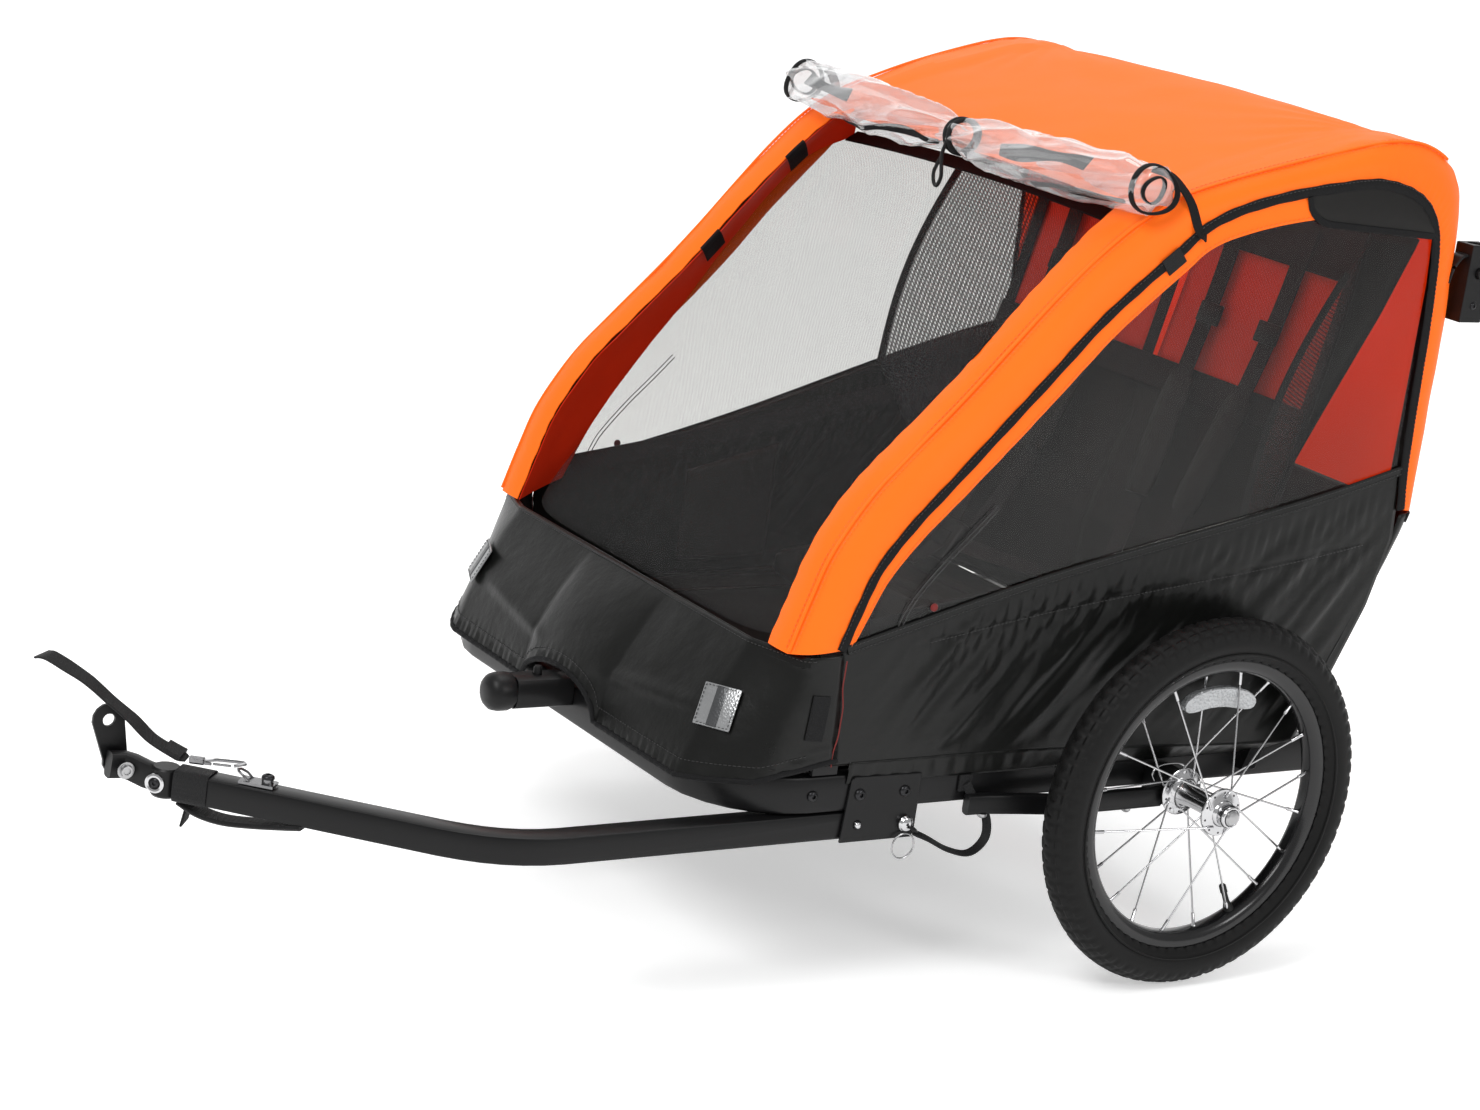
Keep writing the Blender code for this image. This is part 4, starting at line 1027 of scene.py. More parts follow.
# ----------------------------------------------------------------- front panel
def apron_grid():
    """Smooth front apron, with its ends wrapped round the corners to the sides."""
    v = np.linspace(-1, 1, 150)[:, None]
    t = np.linspace(0, 1, 46)[None, :]      # top to bottom
    flat = 0.86                             # share of the half width before the corner
    wrap = np.maximum(0.0, (abs(v) - flat) / (1 - flat))
    x = 0.3000 * np.minimum(abs(v), flat) / flat + 0.0142 * (1 - (1 - wrap) ** 2)
    edge = np.maximum(0.0, (np.minimum(x, 0.30) - 0.235) / 0.065)
    swell = 0.012 * (1 - (np.minimum(x, 0.31) / 0.31) ** 2)
    notch = 0.034 * np.maximum(0.0, 1 - (x / 0.075) ** 2) ** 0.5
    low = 0.2160 + notch + 0.012 * edge + 0.022 * wrap
    high = 0.3530 + 0.0050 * wrap
    y_top = -0.4895 + 0.020 * edge
    y_low = -0.5560 - 0.25 * swell + 0.050 * edge ** 1.6
    y_top = y_top + (-0.4325 - y_top) * wrap ** 1.5
    y_low = y_low + (-0.4230 - y_low) * wrap ** 1.5
    y = y_top + (y_low - y_top) * t - swell * np.sin(PI * t) * (1 - wrap)
    return points(np.sign(v) * x, y, high + (low - high) * t)


def apron_relief(grid):
    x, z = grid[..., 0], grid[..., 2]
    t = np.linspace(0, 1, grid.shape[1])[None, :]
    relief = (noise_at(grid, (5, 9, 9), 2.2) * 0.0030
              + noise_at(grid, (16, 26, 26), 6.1) * 0.0008)
    # one long drag fold rising outward on each side
    for sign in (1, -1):
        out = sign * x
        fold = bell(z - (0.262 + 0.11 * (out - 0.05)), 0.008)
        relief += 0.0030 * fold * smoothstep(0.04, 0.09, out) * smoothstep(0.28, 0.17, out)
    # gathers along the lower hem
    steps = np.diff(grid[:, -1], axis=0, prepend=grid[:1, -1])
    gather_phase = np.cumsum(np.linalg.norm(steps, axis=1))[:, None] * 2 * PI / 0.0115
    hem = smoothstep(0.90, 0.945, t) * (1 - 0.5 * smoothstep(0.985, 1.0, t))
    gathers = np.sin(gather_phase + 2.5 * noise_at(grid, (14, 14, 3), 1.0))
    relief = relief * smoothstep(0, 0.12, t) + 0.0014 * gathers * hem
    return relief + 0.0007 * np.sin(gather_phase) * bell(t - 0.88, 0.035)


smooth_apron = apron_grid()
apron_normal = normals_of(smooth_apron)
if apron_normal[75, 20][1] > 0:
    apron_normal = -apron_normal
apron = smooth_apron + apron_normal * apron_relief(smooth_apron)[..., None]


def apron_line(margin, row, out, rise=0.0):
    """Points along a row of the apron, moved out and up, and the directions they face."""
    span = slice(margin, len(apron) - margin)
    normal = apron_normal[span, row]
    return apron[span, row] + normal * out + (0, 0, rise), normal


def front_panel():
    make_soft("front_panel_cloth", shell(apron, 0.0012, apron_normal), NYLON, sharp=0,
              replaces="front_panel")
    lower, _ = apron_line(0, -1, -0.0004, -0.0005)
    make_soft("front_panel_binding", tube(lower, 0.0030, 10), BINDING)
    path, normal = apron_line(8, 0, 0.0004, -0.005)
    make_soft("front_panel_top_hem", ribbon(path, 0.0115, 0.0018, normal, 0.4), NYLON)
    lines = [stitches(*apron_line(6, 1, 0.0016, -0.001)), stitches(*apron_line(3, 40, 0.0003))]
    make_soft("front_panel_stitch", join(*lines), THREAD, slot="nylon_black", sharp=0)


def reflective_patch(side, sign):
    """Square reflective patch with a dark band and a stitched border."""
    column = int(np.argmin(np.abs(apron[:, 20, 0] - sign * 0.245)))
    row = int(np.argmin(np.abs(apron[column, :, 2] - 0.286)))
    normal = apron_normal[column, row]
    across = (apron[min(column + 3, len(apron) - 1), row] - apron[max(column - 3, 0), row])
    across /= np.linalg.norm(across)
    up = np.cross(normal, across)
    if up[2] < 0:
        up = -up
    origin = apron[column, row] + normal * 0.0026
    axes = (across, up, normal / np.linalg.norm(normal))
    patch = slab((-0.0215, -0.0215, -0.0012), (0.0215, 0.0215, 0.0008), 0.0018)
    band = slab((-0.0060, -0.0205, 0.0004), (0.0060, 0.0205, 0.0014), 0.0004)
    make_soft("reflective_patch_" + side, place(patch, origin, *axes), TAPE)
    make_soft("reflective_patch_band_" + side, place(band, origin, *axes), TAPE_DARK)
    corners = 0.0195 * np.array([(-1, -1), (1, -1), (1, 1), (-1, 1), (-1, -1)])
    loop = np.concatenate([np.linspace(corners[i], corners[i + 1], 10)[:-1] for i in range(4)]
                          + [corners[:1]])
    path = origin + loop[:, :1] * across + loop[:, 1:] * up + axes[2] * 0.0009
    make_soft("reflective_patch_stitch_" + side, stitches(path, axes[2], 0.0026, 0.0018),
              THREAD, sharp=0)


def apron_corner(side, sign):
    """Hook-and-loop tab on a wrapped corner, and the dark red cord beside the seam."""
    column = int(round((1 + sign * 0.955) / 2 * (len(apron) - 1)))
    normal = apron_normal[column, 25]
    path = np.linspace(apron[column, 16], apron[column, 34], 12) + normal * 0.0014
    make_soft("corner_tab_" + side, ribbon(path, 0.0200, 0.0020, normal, 0.4), HOOK_AND_LOOP)
    z = np.linspace(0.352, 0.243, 24)
    path = points(sign * (0.3146 + 0.0006 * np.sin(z * 190)),
                  -0.4270 + 0.0022 * np.sin(z * 70), z)
    make_soft("corner_cord_" + side, tube(path, 0.0007, 6), CORD)


front_panel()
both_sides(reflective_patch)
both_sides(apron_corner)


# ------------------------------------------------------------------ rear panel
def rear_panel():
    heights = np.array([0.4945, 0.4450, 0.3850, 0.3330, 0.2520])
    depths = np.array([0.2700, 0.2480, 0.2160, 0.1880, 0.1560])
    half_width, flat = 0.3085, 0.84     # flat is the share of it before the wrapped ends
    v = np.linspace(-1, 1, 110)[:, None]
    t = np.linspace(0, 1, 46)
    wrap = np.clip((abs(v) - flat) / (1 - flat), 0, 1)
    x = half_width * np.minimum(abs(v), flat) / flat
    z = np.interp(t, np.linspace(0, 1, 5), heights)
    y = np.interp(z, heights[::-1], depths[::-1]) + 0.010 * (1 - (x / 0.31) ** 2)
    y = y - wrap ** 2.2 * np.interp(z, [0.252, 0.333, 0.42, 0.4945],
                                    [0.006, 0.012, 0.014, 0.026])
    end_x = side_x(WINDOW_REAR + (z - heights[0]) * 0.35) - 0.0012
    x = x + (end_x - half_width) * (1 - (1 - wrap) ** 2.2)
    grid = points(np.sign(v) * x, y, z)
    normal = normals_of(grid)
    if normal[55, 20][1] < 0:
        normal = -normal
    relief = (noise_at(grid, (6, 10, 10), 3.3) * 0.0035
              + noise_at(grid, (34, 20, 7), 5.1) * 0.0012)
    grid = grid + normal * (np.clip(relief, -0.004, 0.004) * ease(t, 8))[..., None]
    make_soft("rear_panel_cloth", shell(grid, 0.0010, normal), NYLON, keep=0.06, sharp=0,
              replaces="rear_panel")
    facing = normal[3:-3, 1]
    hem = ribbon(grid[3:-3, 1] + facing * 0.0010, 0.0120, 0.0020, facing, 0.4)
    make_soft("rear_panel_hem", hem, NYLON, keep=0.06)


rear_panel()


# --------------------------------------------------------------- inner padding
def inflate(name, shape, voxel, reach):
    """Cushion blown up by cloth pressure from a closed shape, by no more than reach."""
    pressure, last_frame = 4.0, 14
    verts, faces = shape
    mesh = bpy.data.meshes.new(name + "_src")
    mesh.from_pydata([tuple(v) for v in verts], [], faces)
    source = bpy.data.objects.new(name + "_src", mesh)
    scene.collection.objects.link(source)
    bm = bmesh.new()
    bm.from_mesh(mesh)
    bmesh.ops.recalc_face_normals(bm, faces=bm.faces)
    bm.to_mesh(mesh)
    bm.free()
    remesh = source.modifiers.new("r", "REMESH")
    remesh.mode = "VOXEL"
    remesh.voxel_size = voxel
    depsgraph = bpy.context.evaluated_depsgraph_get()
    fine = bpy.data.meshes.new_from_object(source.evaluated_get(depsgraph))
    source.modifiers.clear()
    source.data = fine
    result = np.array([v.co for v in fine.vertices])
    settings = source.modifiers.new("c", "CLOTH").settings
    settings.quality = 5
    settings.mass = 0.3
    settings.use_pressure = True
    settings.uniform_pressure_force = pressure
    settings.tension_stiffness = 15
    settings.compression_stiffness = 15
    settings.shear_stiffness = 5
    settings.bending_stiffness = 0.5
    settings.effector_weights.gravity = 0
    for frame_number in range(1, last_frame + 1):
        scene.frame_set(frame_number)
    depsgraph = bpy.context.evaluated_depsgraph_get()
    blown = source.evaluated_get(depsgraph).to_mesh()
    moved = np.array([v.co for v in blown.vertices]) - result
    source.evaluated_get(depsgraph).to_mesh_clear()
    scene.frame_set(1)
    length = np.linalg.norm(moved, axis=1, keepdims=True)
    result = result + moved * np.minimum(1, reach / np.maximum(length, 1e-9))
    faces = [tuple(p.vertices) for p in fine.polygons]
    bpy.data.objects.remove(source)
    return result, faces


def prism_x(outline, half_width):
    """Prism along X from a (y, z) outline."""
    count = len(outline)
    verts = [(x, y, z) for x in (-half_width, half_width) for y, z in outline]
    faces = [tuple(range(count)), tuple(range(2 * count - 1, count - 1, -1))]
    for i in range(count):
        k = (i + 1) % count
        faces.append((i, i + count, k + count, k))
    return np.array(verts, float), faces


def seat_cushion():
    outline = [(-0.142, 0.262), (0.090, 0.246), (0.096, 0.262),
               (0.084, 0.276), (-0.134, 0.291), (-0.148, 0.282)]
    verts, faces = inflate("seat_base", prism_x(outline, 0.250), voxel=0.0075, reach=0.012)
    verts[:, 2] = np.clip(verts[:, 2], 0.2450, 0.3055)
    # sewn grooves in the top: axis they cut across, place on it, depth
    for axis, middle, depth in ((0, 0.0, 0.006), (1, -0.075, 0.004), (1, 0.0, 0.004)):
        verts[:, 2] -= depth * (bell(verts[:, axis] - middle, 0.006) * (verts[:, 2] > 0.27))
    make("seat_cushion", (verts, faces), NYLON_INSIDE, "root", sharp=0, replaces="seat_base")


def seat_back_pad():
    """Padded lower part of the backrest."""
    outline = [(0.110, 0.268), (0.124, 0.268), (0.140, 0.400), (0.183, 0.5760),
               (0.171, 0.5820), (0.112, 0.400), (0.104, 0.290)]
    verts, faces = inflate("seat_back", prism_x(outline, 0.262), voxel=0.0080, reach=0.010)
    verts[:, 1] -= 0.004 * bell(np.abs(verts[:, 0]) - 0.130, 0.09)
    verts[:, 1] += 0.006 * bell(verts[:, 0], 0.006) * (verts[:, 1] < 0.15)
    make_soft("seat_back_pad", (verts, faces), NYLON_INSIDE, sharp=0, replaces="seat_back")


def back_line(z):
    """y of the front face of the seat back."""
    return np.interp(z, [0.29, 0.40, 0.70, 0.78], [0.100, 0.108, 0.186, 0.2000])


BACK_FACING = (0, -1, 0.3)
# width, then stations of x, y behind the front face, z
BACK_TAPES = (
    (0.062, [(-0.268, 0.000, 0.755), (0.268, 0.000, 0.755)]),
    (0.034, [(-0.266, -0.002, 0.572), (0.266, -0.002, 0.572)]),
    (0.018, [(-0.264, 0.012, 0.272), (-0.264, 0.010, 0.40), (-0.264, 0.008, 0.55),
             (-0.264, 0.005, 0.776)]),
    (0.018, [(0.264, 0.012, 0.272), (0.264, 0.010, 0.40), (0.264, 0.008, 0.55),
             (0.264, 0.005, 0.776)]),
    (0.018, [(0.0, 0.004, 0.560), (0.0, 0.004, 0.776)]),
)


def seat_back_net(side, low_x, high_x):
    """Net above the pad on one half of the backrest."""
    x = np.linspace(low_x, high_x, 24)[:, None]
    z = np.linspace(0.556, 0.776, 40)
    bow = 0.006 * np.sin(PI * (x - low_x) / (high_x - low_x))
    grid = points(x, back_line(z) + 0.008 - bow, z)
    make_soft("seat_back_net_" + side, shell(grid, 0.0010, (0, -1, 0)), NET_RED, sharp=0)


def seat_back_tapes():
    for number, (width, stations) in enumerate(BACK_TAPES):
        knots = np.array([(x, back_line(z) + behind, z) for x, behind, z in stations])
        strap = ribbon(smooth_path(knots, 10), width, 0.0024, BACK_FACING)
        make_soft("seat_back_tape_%d" % (number + 1), strap, WEBBING)


def seat_back_wing(side, sign):
    """Wing of the seat back, spreading to the side above the pad."""
    t = np.linspace(0, 1, 26)
    q = np.linspace(0, 1, 9)[:, None]
    z = 0.500 + 0.284 * t
    grid = points(sign * (0.258 + (0.005 + 0.037 * t ** 1.15) * q),
                  back_line(z) + 0.005 + 0.034 * t * q ** 1.2, z)
    make_soft("seat_back_wing_" + side, shell(grid, 0.0016, (0, -1, 0)), NYLON_INSIDE, sharp=0)
    make_soft("seat_back_wing_hem_" + side,
              ribbon(grid[-1], 0.012, 0.0030, BACK_FACING, 0.45), BINDING)


def harness(side, sign):
    """Shoulder straps, lap straps, crotch strap, chest pads, buckle and adjusters."""
    middle = sign * 0.135
    width, thick = 0.025, 0.0020
    # shoulder strap: height, share of the half spacing, and y
    z = np.array([0.772, 0.670, 0.580, 0.520, 0.450, 0.390, 0.348])
    spread = np.array([1.0, 0.96, 0.90, 0.82, 0.70, 0.52, 0.36])
    y = np.append(back_line(z[:5]) - (0.003, 0.008, 0.014, 0.020, 0.026), (0.068, 0.044))
    facing = (0, -1, 0.4)
    straps, pads = [], []
    for offset in (-0.055, 0.055):
        knots = points(middle + offset * spread, y, z)
        straps.append(ribbon(smooth_path(knots, 8), width, thick, facing))
        pad = smooth_path(knots[2:5] - (0, 0.0005, 0), 10)
        pad_width = 0.044 - 0.008 * np.linspace(-1, 1, len(pad)) ** 4
        pads.append(ribbon(pad, pad_width, 0.0090, facing, 0.42))
    lap = smooth_path([(middle - 0.095, 0.092, 0.318), (middle - 0.060, 0.050, 0.326),
                       (middle - 0.020, 0.030, 0.330)], 8)
    for path in (lap, lap * (-1, 1, 1) + (2 * middle, 0, 0)):
        straps.append(ribbon(path, width, thick, (0, -0.6, 1)))
    crotch = smooth_path([(middle, -0.030, 0.307), (middle, -0.010, 0.314),
                          (middle, 0.012, 0.326)], 8)
    straps.append(ribbon(crotch, width, thick, (0, -0.5, 1)))
    make_soft("harness_straps_" + side, join(*straps), WEBBING, replaces="harness_" + side)
    make_soft("harness_pads_" + side, join(*pads), NYLON_INSIDE, sharp=50)
    body = slab((-0.021, -0.026, -0.006), (0.021, 0.026, 0.006), 0.0045, 3)
    button = slab((-0.009, -0.010, 0.004), (0.009, 0.010, 0.0085), 0.0030, 3)
    buckle = place(join(body, button), (middle, 0.022, 0.330),
                   (1, 0, 0), (0, 0.55, 0.83), (0, -0.83, 0.55))
    make_soft("harness_buckle_" + side, buckle, PLASTIC)
    slides = [place(slab((-0.0175, -0.012, -0.002), (0.0175, 0.012, 0.003), 0.0018, 2),
                    (middle + offset * 0.96, back_line(0.655) - 0.010, 0.652),
                    (1, 0, 0), (0, 0.26, 0.965), (0, -0.965, 0.26))
              for offset in (-0.050, 0.050)]
    make_soft("harness_adjusters_" + side, join(*slides), PLASTIC)


seat_cushion()
seat_back_pad()
seat_back_net("L", 0.012, 0.262)
seat_back_net("R", -0.262, -0.012)
seat_back_tapes()
both_sides(seat_back_wing)
both_sides(harness)

# ------------------------------------------------------ floor and inner pieces
FLOOR_BEND, FLOOR_END = 0.132, 0.1475      # y where the floor turns up, and its rear end


def floor_y(front):
    """Stations along the floor, closer together where it turns up."""
    return np.concatenate([np.linspace(front, 0.130, 66), np.linspace(0.134, FLOOR_END, 8)])


def floor_cloth():
    x = np.linspace(-0.270, 0.270, 60)[:, None]
    y = floor_y(-0.505)
    grid = points(x, y, 0.2375 + 0.0180 * smoothstep(FLOOR_BEND, FLOOR_END, y))
    fade = np.minimum(1, np.minimum(x + 0.27, 0.27 - x) * 20)
    grid[..., 2] += 0.0012 * noise_at(grid, (9, 9, 1), 2.0) * fade
    make("floor_cloth", shell(grid, 0.0030, (0, 0, 1)), NYLON_INSIDE, "root", sharp=0,
         replaces="floor_pan")


def floor_side(side, sign):
    """Strip between the floor and the side panel, and the skirt below the panel."""
    start = 0.262
    y = floor_y(-0.496)
    t = np.linspace(0, 1, 6)[:, None]
    end = np.minimum(side_x(y) - 0.0030, 0.3085 + 0.06 * np.clip(y, 0, 1))
    z = 0.2392 + 0.0030 * t ** 2 + 0.0175 * smoothstep(FLOOR_BEND, FLOOR_END, y)
    grid = points(sign * (start + (end - start) * t), y, z)
    make("floor_edge_" + side, shell(grid, 0.0012, (0, 0, 1)), NYLON_INSIDE, "root", sharp=0)
    y = np.linspace(-0.404, 0.140, 90)
    t = np.linspace(0, 1, 8)[:, None]
    top = side_x(y) - 0.0004
    low = np.minimum(0.3102, top + 0.0006)
    x = top + (low - top) * t + 0.0010 * np.sin(PI * t) * np.sin(y * 260)
    grid = points(sign * x, y, 0.2450 - 0.0235 * t)
    make("side_skirt_" + side, shell(grid, 0.0010, (sign, 0, 0)), NYLON, "root", sharp=0)


def inner_pocket(side, sign):
    """Flat pocket on the inner face of a side panel, and a strap line."""
    inward = (-sign, 0, 0)
    y = np.linspace(-0.235, -0.105, 24)[:, None]
    t = np.linspace(0, 1, 18)
    z = 0.262 + (0.385 + 0.22 * (y + 0.17) - 0.262) * t
    bulge = 0.004 * np.sin(PI * t) * np.sin(PI * (y + 0.235) / 0.13)
    grid = on_side(sign, y, z, -0.0075 - bulge)
    make_soft("inner_pocket_" + side, shell(grid, 0.0012, inward), NYLON_INSIDE, sharp=0)
    y = np.linspace(-0.400, 0.120, 60)
    path = on_side(sign, y, 0.405 + 0.165 * (y + 0.25), -0.0075)
    make_soft("inner_strap_" + side, ribbon(path, 0.020, 0.0020, inward), WEBBING)


def front_screen():
    """Insect screen sewn to the linings' inner edges and bowed forward between them."""
    half_width = 0.284
    u = np.linspace(0.0, 9.9, 110)
    ridge = catmull(RIDGE, u)
    inner = catmull(BAND_INNER, u * 0.6)
    across = np.sin(np.linspace(-1, 1, 70) * PI / 2)[:, None]
    low = 1 - smoothstep(0.0, 2.2, u)
    bow = (1 - across ** 8) * low * 0.93 + (1 - across ** 2) * 0.22 * (1 - low)
    yz = inner + (ridge - (0, 0.004) - inner) * bow[..., None]
    grid = with_x(half_width * across, yz)
    make("front_screen", shell(grid, 0.0005), NET_SCREEN, "upper_frame", sharp=0)
    path = grid[2:-2, -1] + (0, 0, 0.001)
    make("front_screen_hem", ribbon(path, 0.020, 0.0022, (0, -0.5, 0.8), 0.4), BINDING,
         "upper_frame")


def side_gusset(side, sign):
    """Net gusset beside the seat back."""
    t = np.linspace(0, 1, 20)
    z = 0.34 + 0.43 * t
    inner = points(sign * 0.268, back_line(z) + 0.004, z)
    outer = points(sign * (side_x(0.03) - 0.008), 0.035 + 0.085 * t - 0.02 * np.sin(PI * t),
                   0.49 + 0.26 * t)
    grid = np.stack([inner + (outer - inner) * q for q in np.linspace(0, 1, 14)], 0)
    make_soft("side_gusset_" + side, shell(grid, 0.0008), NET_BLACK, sharp=0)
    make_soft("side_gusset_edge_" + side, ribbon(outer, 0.010, 0.0022, (-sign, 0, 0)), BINDING)


floor_cloth()
both_sides(floor_side)
both_sides(inner_pocket)
front_screen()
both_sides(side_gusset)

# ----------------------------------------------------------- rolled rain cover
ROLL_HALF = 0.314       # half the roll's length
ROLL_WIDE = 1.12        # the roll is wider along Y than high
ROLL_X = np.linspace(-ROLL_HALF, ROLL_HALF, 190)
ROLL_TURN = circle(96)


def roll_centre(x):
    """y and z of the roll's middle, which sags between its ends."""
    sag = 0.006 * (1 - (x / 0.32) ** 2)
    end = np.clip(np.abs(x) / 0.31, 0, 1.05) ** 3
    return -0.1490 + 0.007 * end, 0.8265 - sag - 0.001 * end


def roll_radius(x):
    """Radius before crumpling, pinched at the middle."""
    pinch = 0.40 * np.exp(-(x / 0.050) ** 2)
    end = 0.10 * np.clip(np.abs(x) / 0.31, 0, 1.05) ** 6
    return 0.0282 * (1.0 - pinch - end) * (1 + 0.04 * np.sin(x * 31 + 1.0))


def crumpled_radius():
    x, turn = ROLL_X[:, None], ROLL_TURN
    deep = 0.0062
    cylinder = points(x * 11 + 0.9 * np.sin(turn + 3.0), np.cos(turn) * 1.15 + 6.0,
                      np.sin(turn) * 1.15)
    creases = 1 - 2 * np.abs(noise_at(cylinder, (1.0, 1.0, 1.0), 3.0))
    fine = 1 - 2 * np.abs(noise_at(cylinder, (2.6, 2.0, 2.0), 12.0))
    radius = roll_radius(x) + deep * (creases - 0.70) + 0.16 * deep * (fine - 0.6)
    radius = radius + 0.0018 * np.sin(turn * 8 + 2 * np.sin(x * 30)) * bell(x, 0.060)
    return np.clip(radius, 0.004, 0.0300)


roll_surface = crumpled_radius()


def rain_cover_film():
    # two smaller rings close each end
    count = len(ROLL_X) + 4
    take = np.pad(np.arange(len(ROLL_X)), 2, mode="edge")
    shift, share = np.zeros(count), np.ones(count)
    shift[[0, 1, -2, -1]] = -0.0004, -0.0010, 0.0010, 0.0004
    share[[0, 1, -2, -1]] = 0.45, 0.85, 0.85, 0.45
    radius = roll_surface[take] * share[:, None]
    y, z = roll_centre(ROLL_X[take][:, None])
    verts = points((ROLL_X[take] + shift)[:, None],
                   y + ROLL_WIDE * radius * np.cos(ROLL_TURN), z + radius * np.sin(ROLL_TURN))
    columns = len(ROLL_TURN)
    faces = turned(quads(count, columns)) + caps(count, columns)
    make("rain_cover_film", (verts, faces), CLEAR_FILM, "upper_frame", sharp=0,
         replaces="rain_cover")


def at_roll(x, angle, share, out):
    """Point in or on the roll, with its outward direction."""
    last = len(ROLL_X) - 1
    i = int(np.clip(round((x + ROLL_HALF) / (2 * ROLL_HALF) * last), 0, last))
    j = int(round((angle % (2 * PI)) / (2 * PI) * len(ROLL_TURN))) % len(ROLL_TURN)
    outward = np.array((0.0, ROLL_WIDE * math.cos(angle), math.sin(angle)))
    centre = np.array((x, *roll_centre(ROLL_X[i])))
    radius = roll_surface[i, j] * share + out
    return centre + radius * outward, outward / np.linalg.norm(outward)


def rain_cover_edge(side, sign):
    """Bound side edge of the cover, seen as two black loops at the end of the roll."""
    turn = circle(64)
    y, z = roll_centre(ROLL_HALF)
    facing = points(0.0, np.cos(turn), np.sin(turn))
    loops = []
    for share, tilt, width in ((0.98, 0.0055, 0.0085), (0.56, -0.0035, 0.0070)):
        radius = roll_radius(ROLL_HALF) * share * (1 + 0.05 * np.sin(3 * turn + share * 9))
        path = points(sign * (0.3135 + tilt * np.cos(turn + 0.8)),
                      y + ROLL_WIDE * radius * np.cos(turn), z + radius * np.sin(turn))
        loops.append(tube(path, width / 2, 10, closed=True, ref=facing, flat=0.34))
    make("rain_cover_edge_" + side, join(*loops), BINDING, "upper_frame")


# dark bands on the roll: name, first x, last x, angle, share of the radius, width
ROLL_BANDS = (
    ("far_hem", -0.200, -0.016, 3.95, 0.97, 0.0085),
    ("near_fold", 0.090, 0.230, 2.7, 0.55, 0.0150),
    ("far_fold", -0.285, -0.190, 2.4, 0.55, 0.0130),
    ("near_hem", 0.150, 0.290, 4.2, 0.90, 0.0080),
)


def roll_bands():
    for name, first, last, angle, share, width in ROLL_BANDS:
        xs = np.linspace(first, last, 60)
        found = [at_roll(x, angle + 0.35 * math.sin(x * 21), share, 0.0004) for x in xs]
        path = np.pad(np.array([point for point, _ in found]), ((3, 3), (0, 0)), mode="edge")
        path = np.stack([np.convolve(path[:, k], np.ones(7) / 7, "valid") for k in range(3)],
                        -1)
        strap = ribbon(path, width * (1 + 0.25 * np.sin(xs * 60)), 0.0020,
                       np.array([outward for _, outward in found]), 0.4)
        make("rain_cover_" + name, strap, BINDING, "upper_frame")


# hook on the elastic loop: x, y and z from the roll's middle
ELASTIC_HOOK = (
    (0.004, -0.0190, -0.004), (0.005, -0.0240, -0.018), (0.010, -0.0265, -0.030),
    (0.014, -0.0280, -0.042), (0.010, -0.0285, -0.052), (0.003, -0.0280, -0.050),
    (-0.001, -0.0270, -0.040), (0.002, -0.0250, -0.028), (0.006, -0.0240, -0.020))


def elastic_loop():
    """Elastic doubled round the middle of the roll, with its hook."""
    turn = circle(48)
    radius = 0.0180
    y, z = roll_centre(0.0)
    path = points(0.0015 * np.sin(2 * turn), y + ROLL_WIDE * radius * np.cos(turn),
                  z + radius * np.sin(turn))
    loops = [tube(path + (x, 0, 0), 0.0028, 10, closed=True) for x in (0, 0.0062)]
    make("elastic_loop", join(*loops), WEBBING, "upper_frame")
    hook = smooth_path(np.array(ELASTIC_HOOK) + (0, y, z), 6)
    make("elastic_hook", tube(hook, 0.0021, 8), PLASTIC, "upper_frame")


def roll_tape(side, sign):
    """Tape from the end of the roll down to the side binding."""
    y, z = catmull(EDGE, [9.75])[0]
    x = side_x(y)
    knots = np.array([(0.290, -0.128, 0.8430), (0.305, -0.112, 0.8370),
                      (0.3155, -0.094, 0.8160), (x + 0.003, y - 0.004, z + 0.004),
                      (x + 0.004, y + 0.006, z - 0.004)]) * (sign, 1, 1)
    make("roll_tape_" + side,
         ribbon(smooth_path(knots, 6), 0.0100, 0.0020, (sign * 0.6, -0.3, 0.8)),
         BINDING, "upper_frame")


rain_cover_film()
both_sides(rain_cover_edge)
roll_bands()
elastic_loop()
both_sides(roll_tape)

# ---------------------------------------------------------------------- wheels
BLOCKS = 76
BLOCK_STEPS = 8
TYRE_RADIUS = 0.2
BLOCK_HEIGHT = 0.0016
# tread rows: from and to as shares of the half width, widest section angle, shift of the +
# side, slant, start and end within a block, share of the block height
TREAD = (
    (0.0, 0.10, PI, 0.0, 0.0, 0.05, 0.95, 1.0),
    (0.10, 0.34, PI, 0.5, 0.6, 0.16, 0.88, 1.0),
    (0.38, 0.66, PI, 0.25, 0.8, 0.12, 0.80, 1.0),
    (0.71, 0.93, PI / 2, 0.5, 0.0, 0.18, 0.78, 0.8),
)
# inner side of the casing (x, radius)
CASING_INNER = np.array([(0.0092, 0.1592), (0.0088, 0.1523), (-0.0088, 0.1523),
                         (-0.0092, 0.1592)])
# turned sections (place along the axle, radius)
RIM = (mirrored([(-0.0125, 0.1588), (-0.0116, 0.1596), (-0.0106, 0.1588), (-0.0094, 0.1518)])
       + mirrored([(0.0127, 0.1560), (0.0124, 0.1515), (0.0108, 0.1470), (0.0075, 0.1438),
                   (0.0035, 0.1427)]))
HUB = mirrored([
    (-0.0400, 0.0066), (-0.0400, 0.0122), (-0.0388, 0.0136), (-0.0360, 0.0146),
    (-0.0338, 0.0200), (-0.0332, 0.0250), (-0.0322, 0.0258), (-0.0306, 0.0258),
    (-0.0298, 0.0248), (-0.0292, 0.0190), (-0.0272, 0.0150), (-0.0240, 0.0128),
    (-0.0120, 0.0108)])
SPOKES_PER_FLANGE = 10


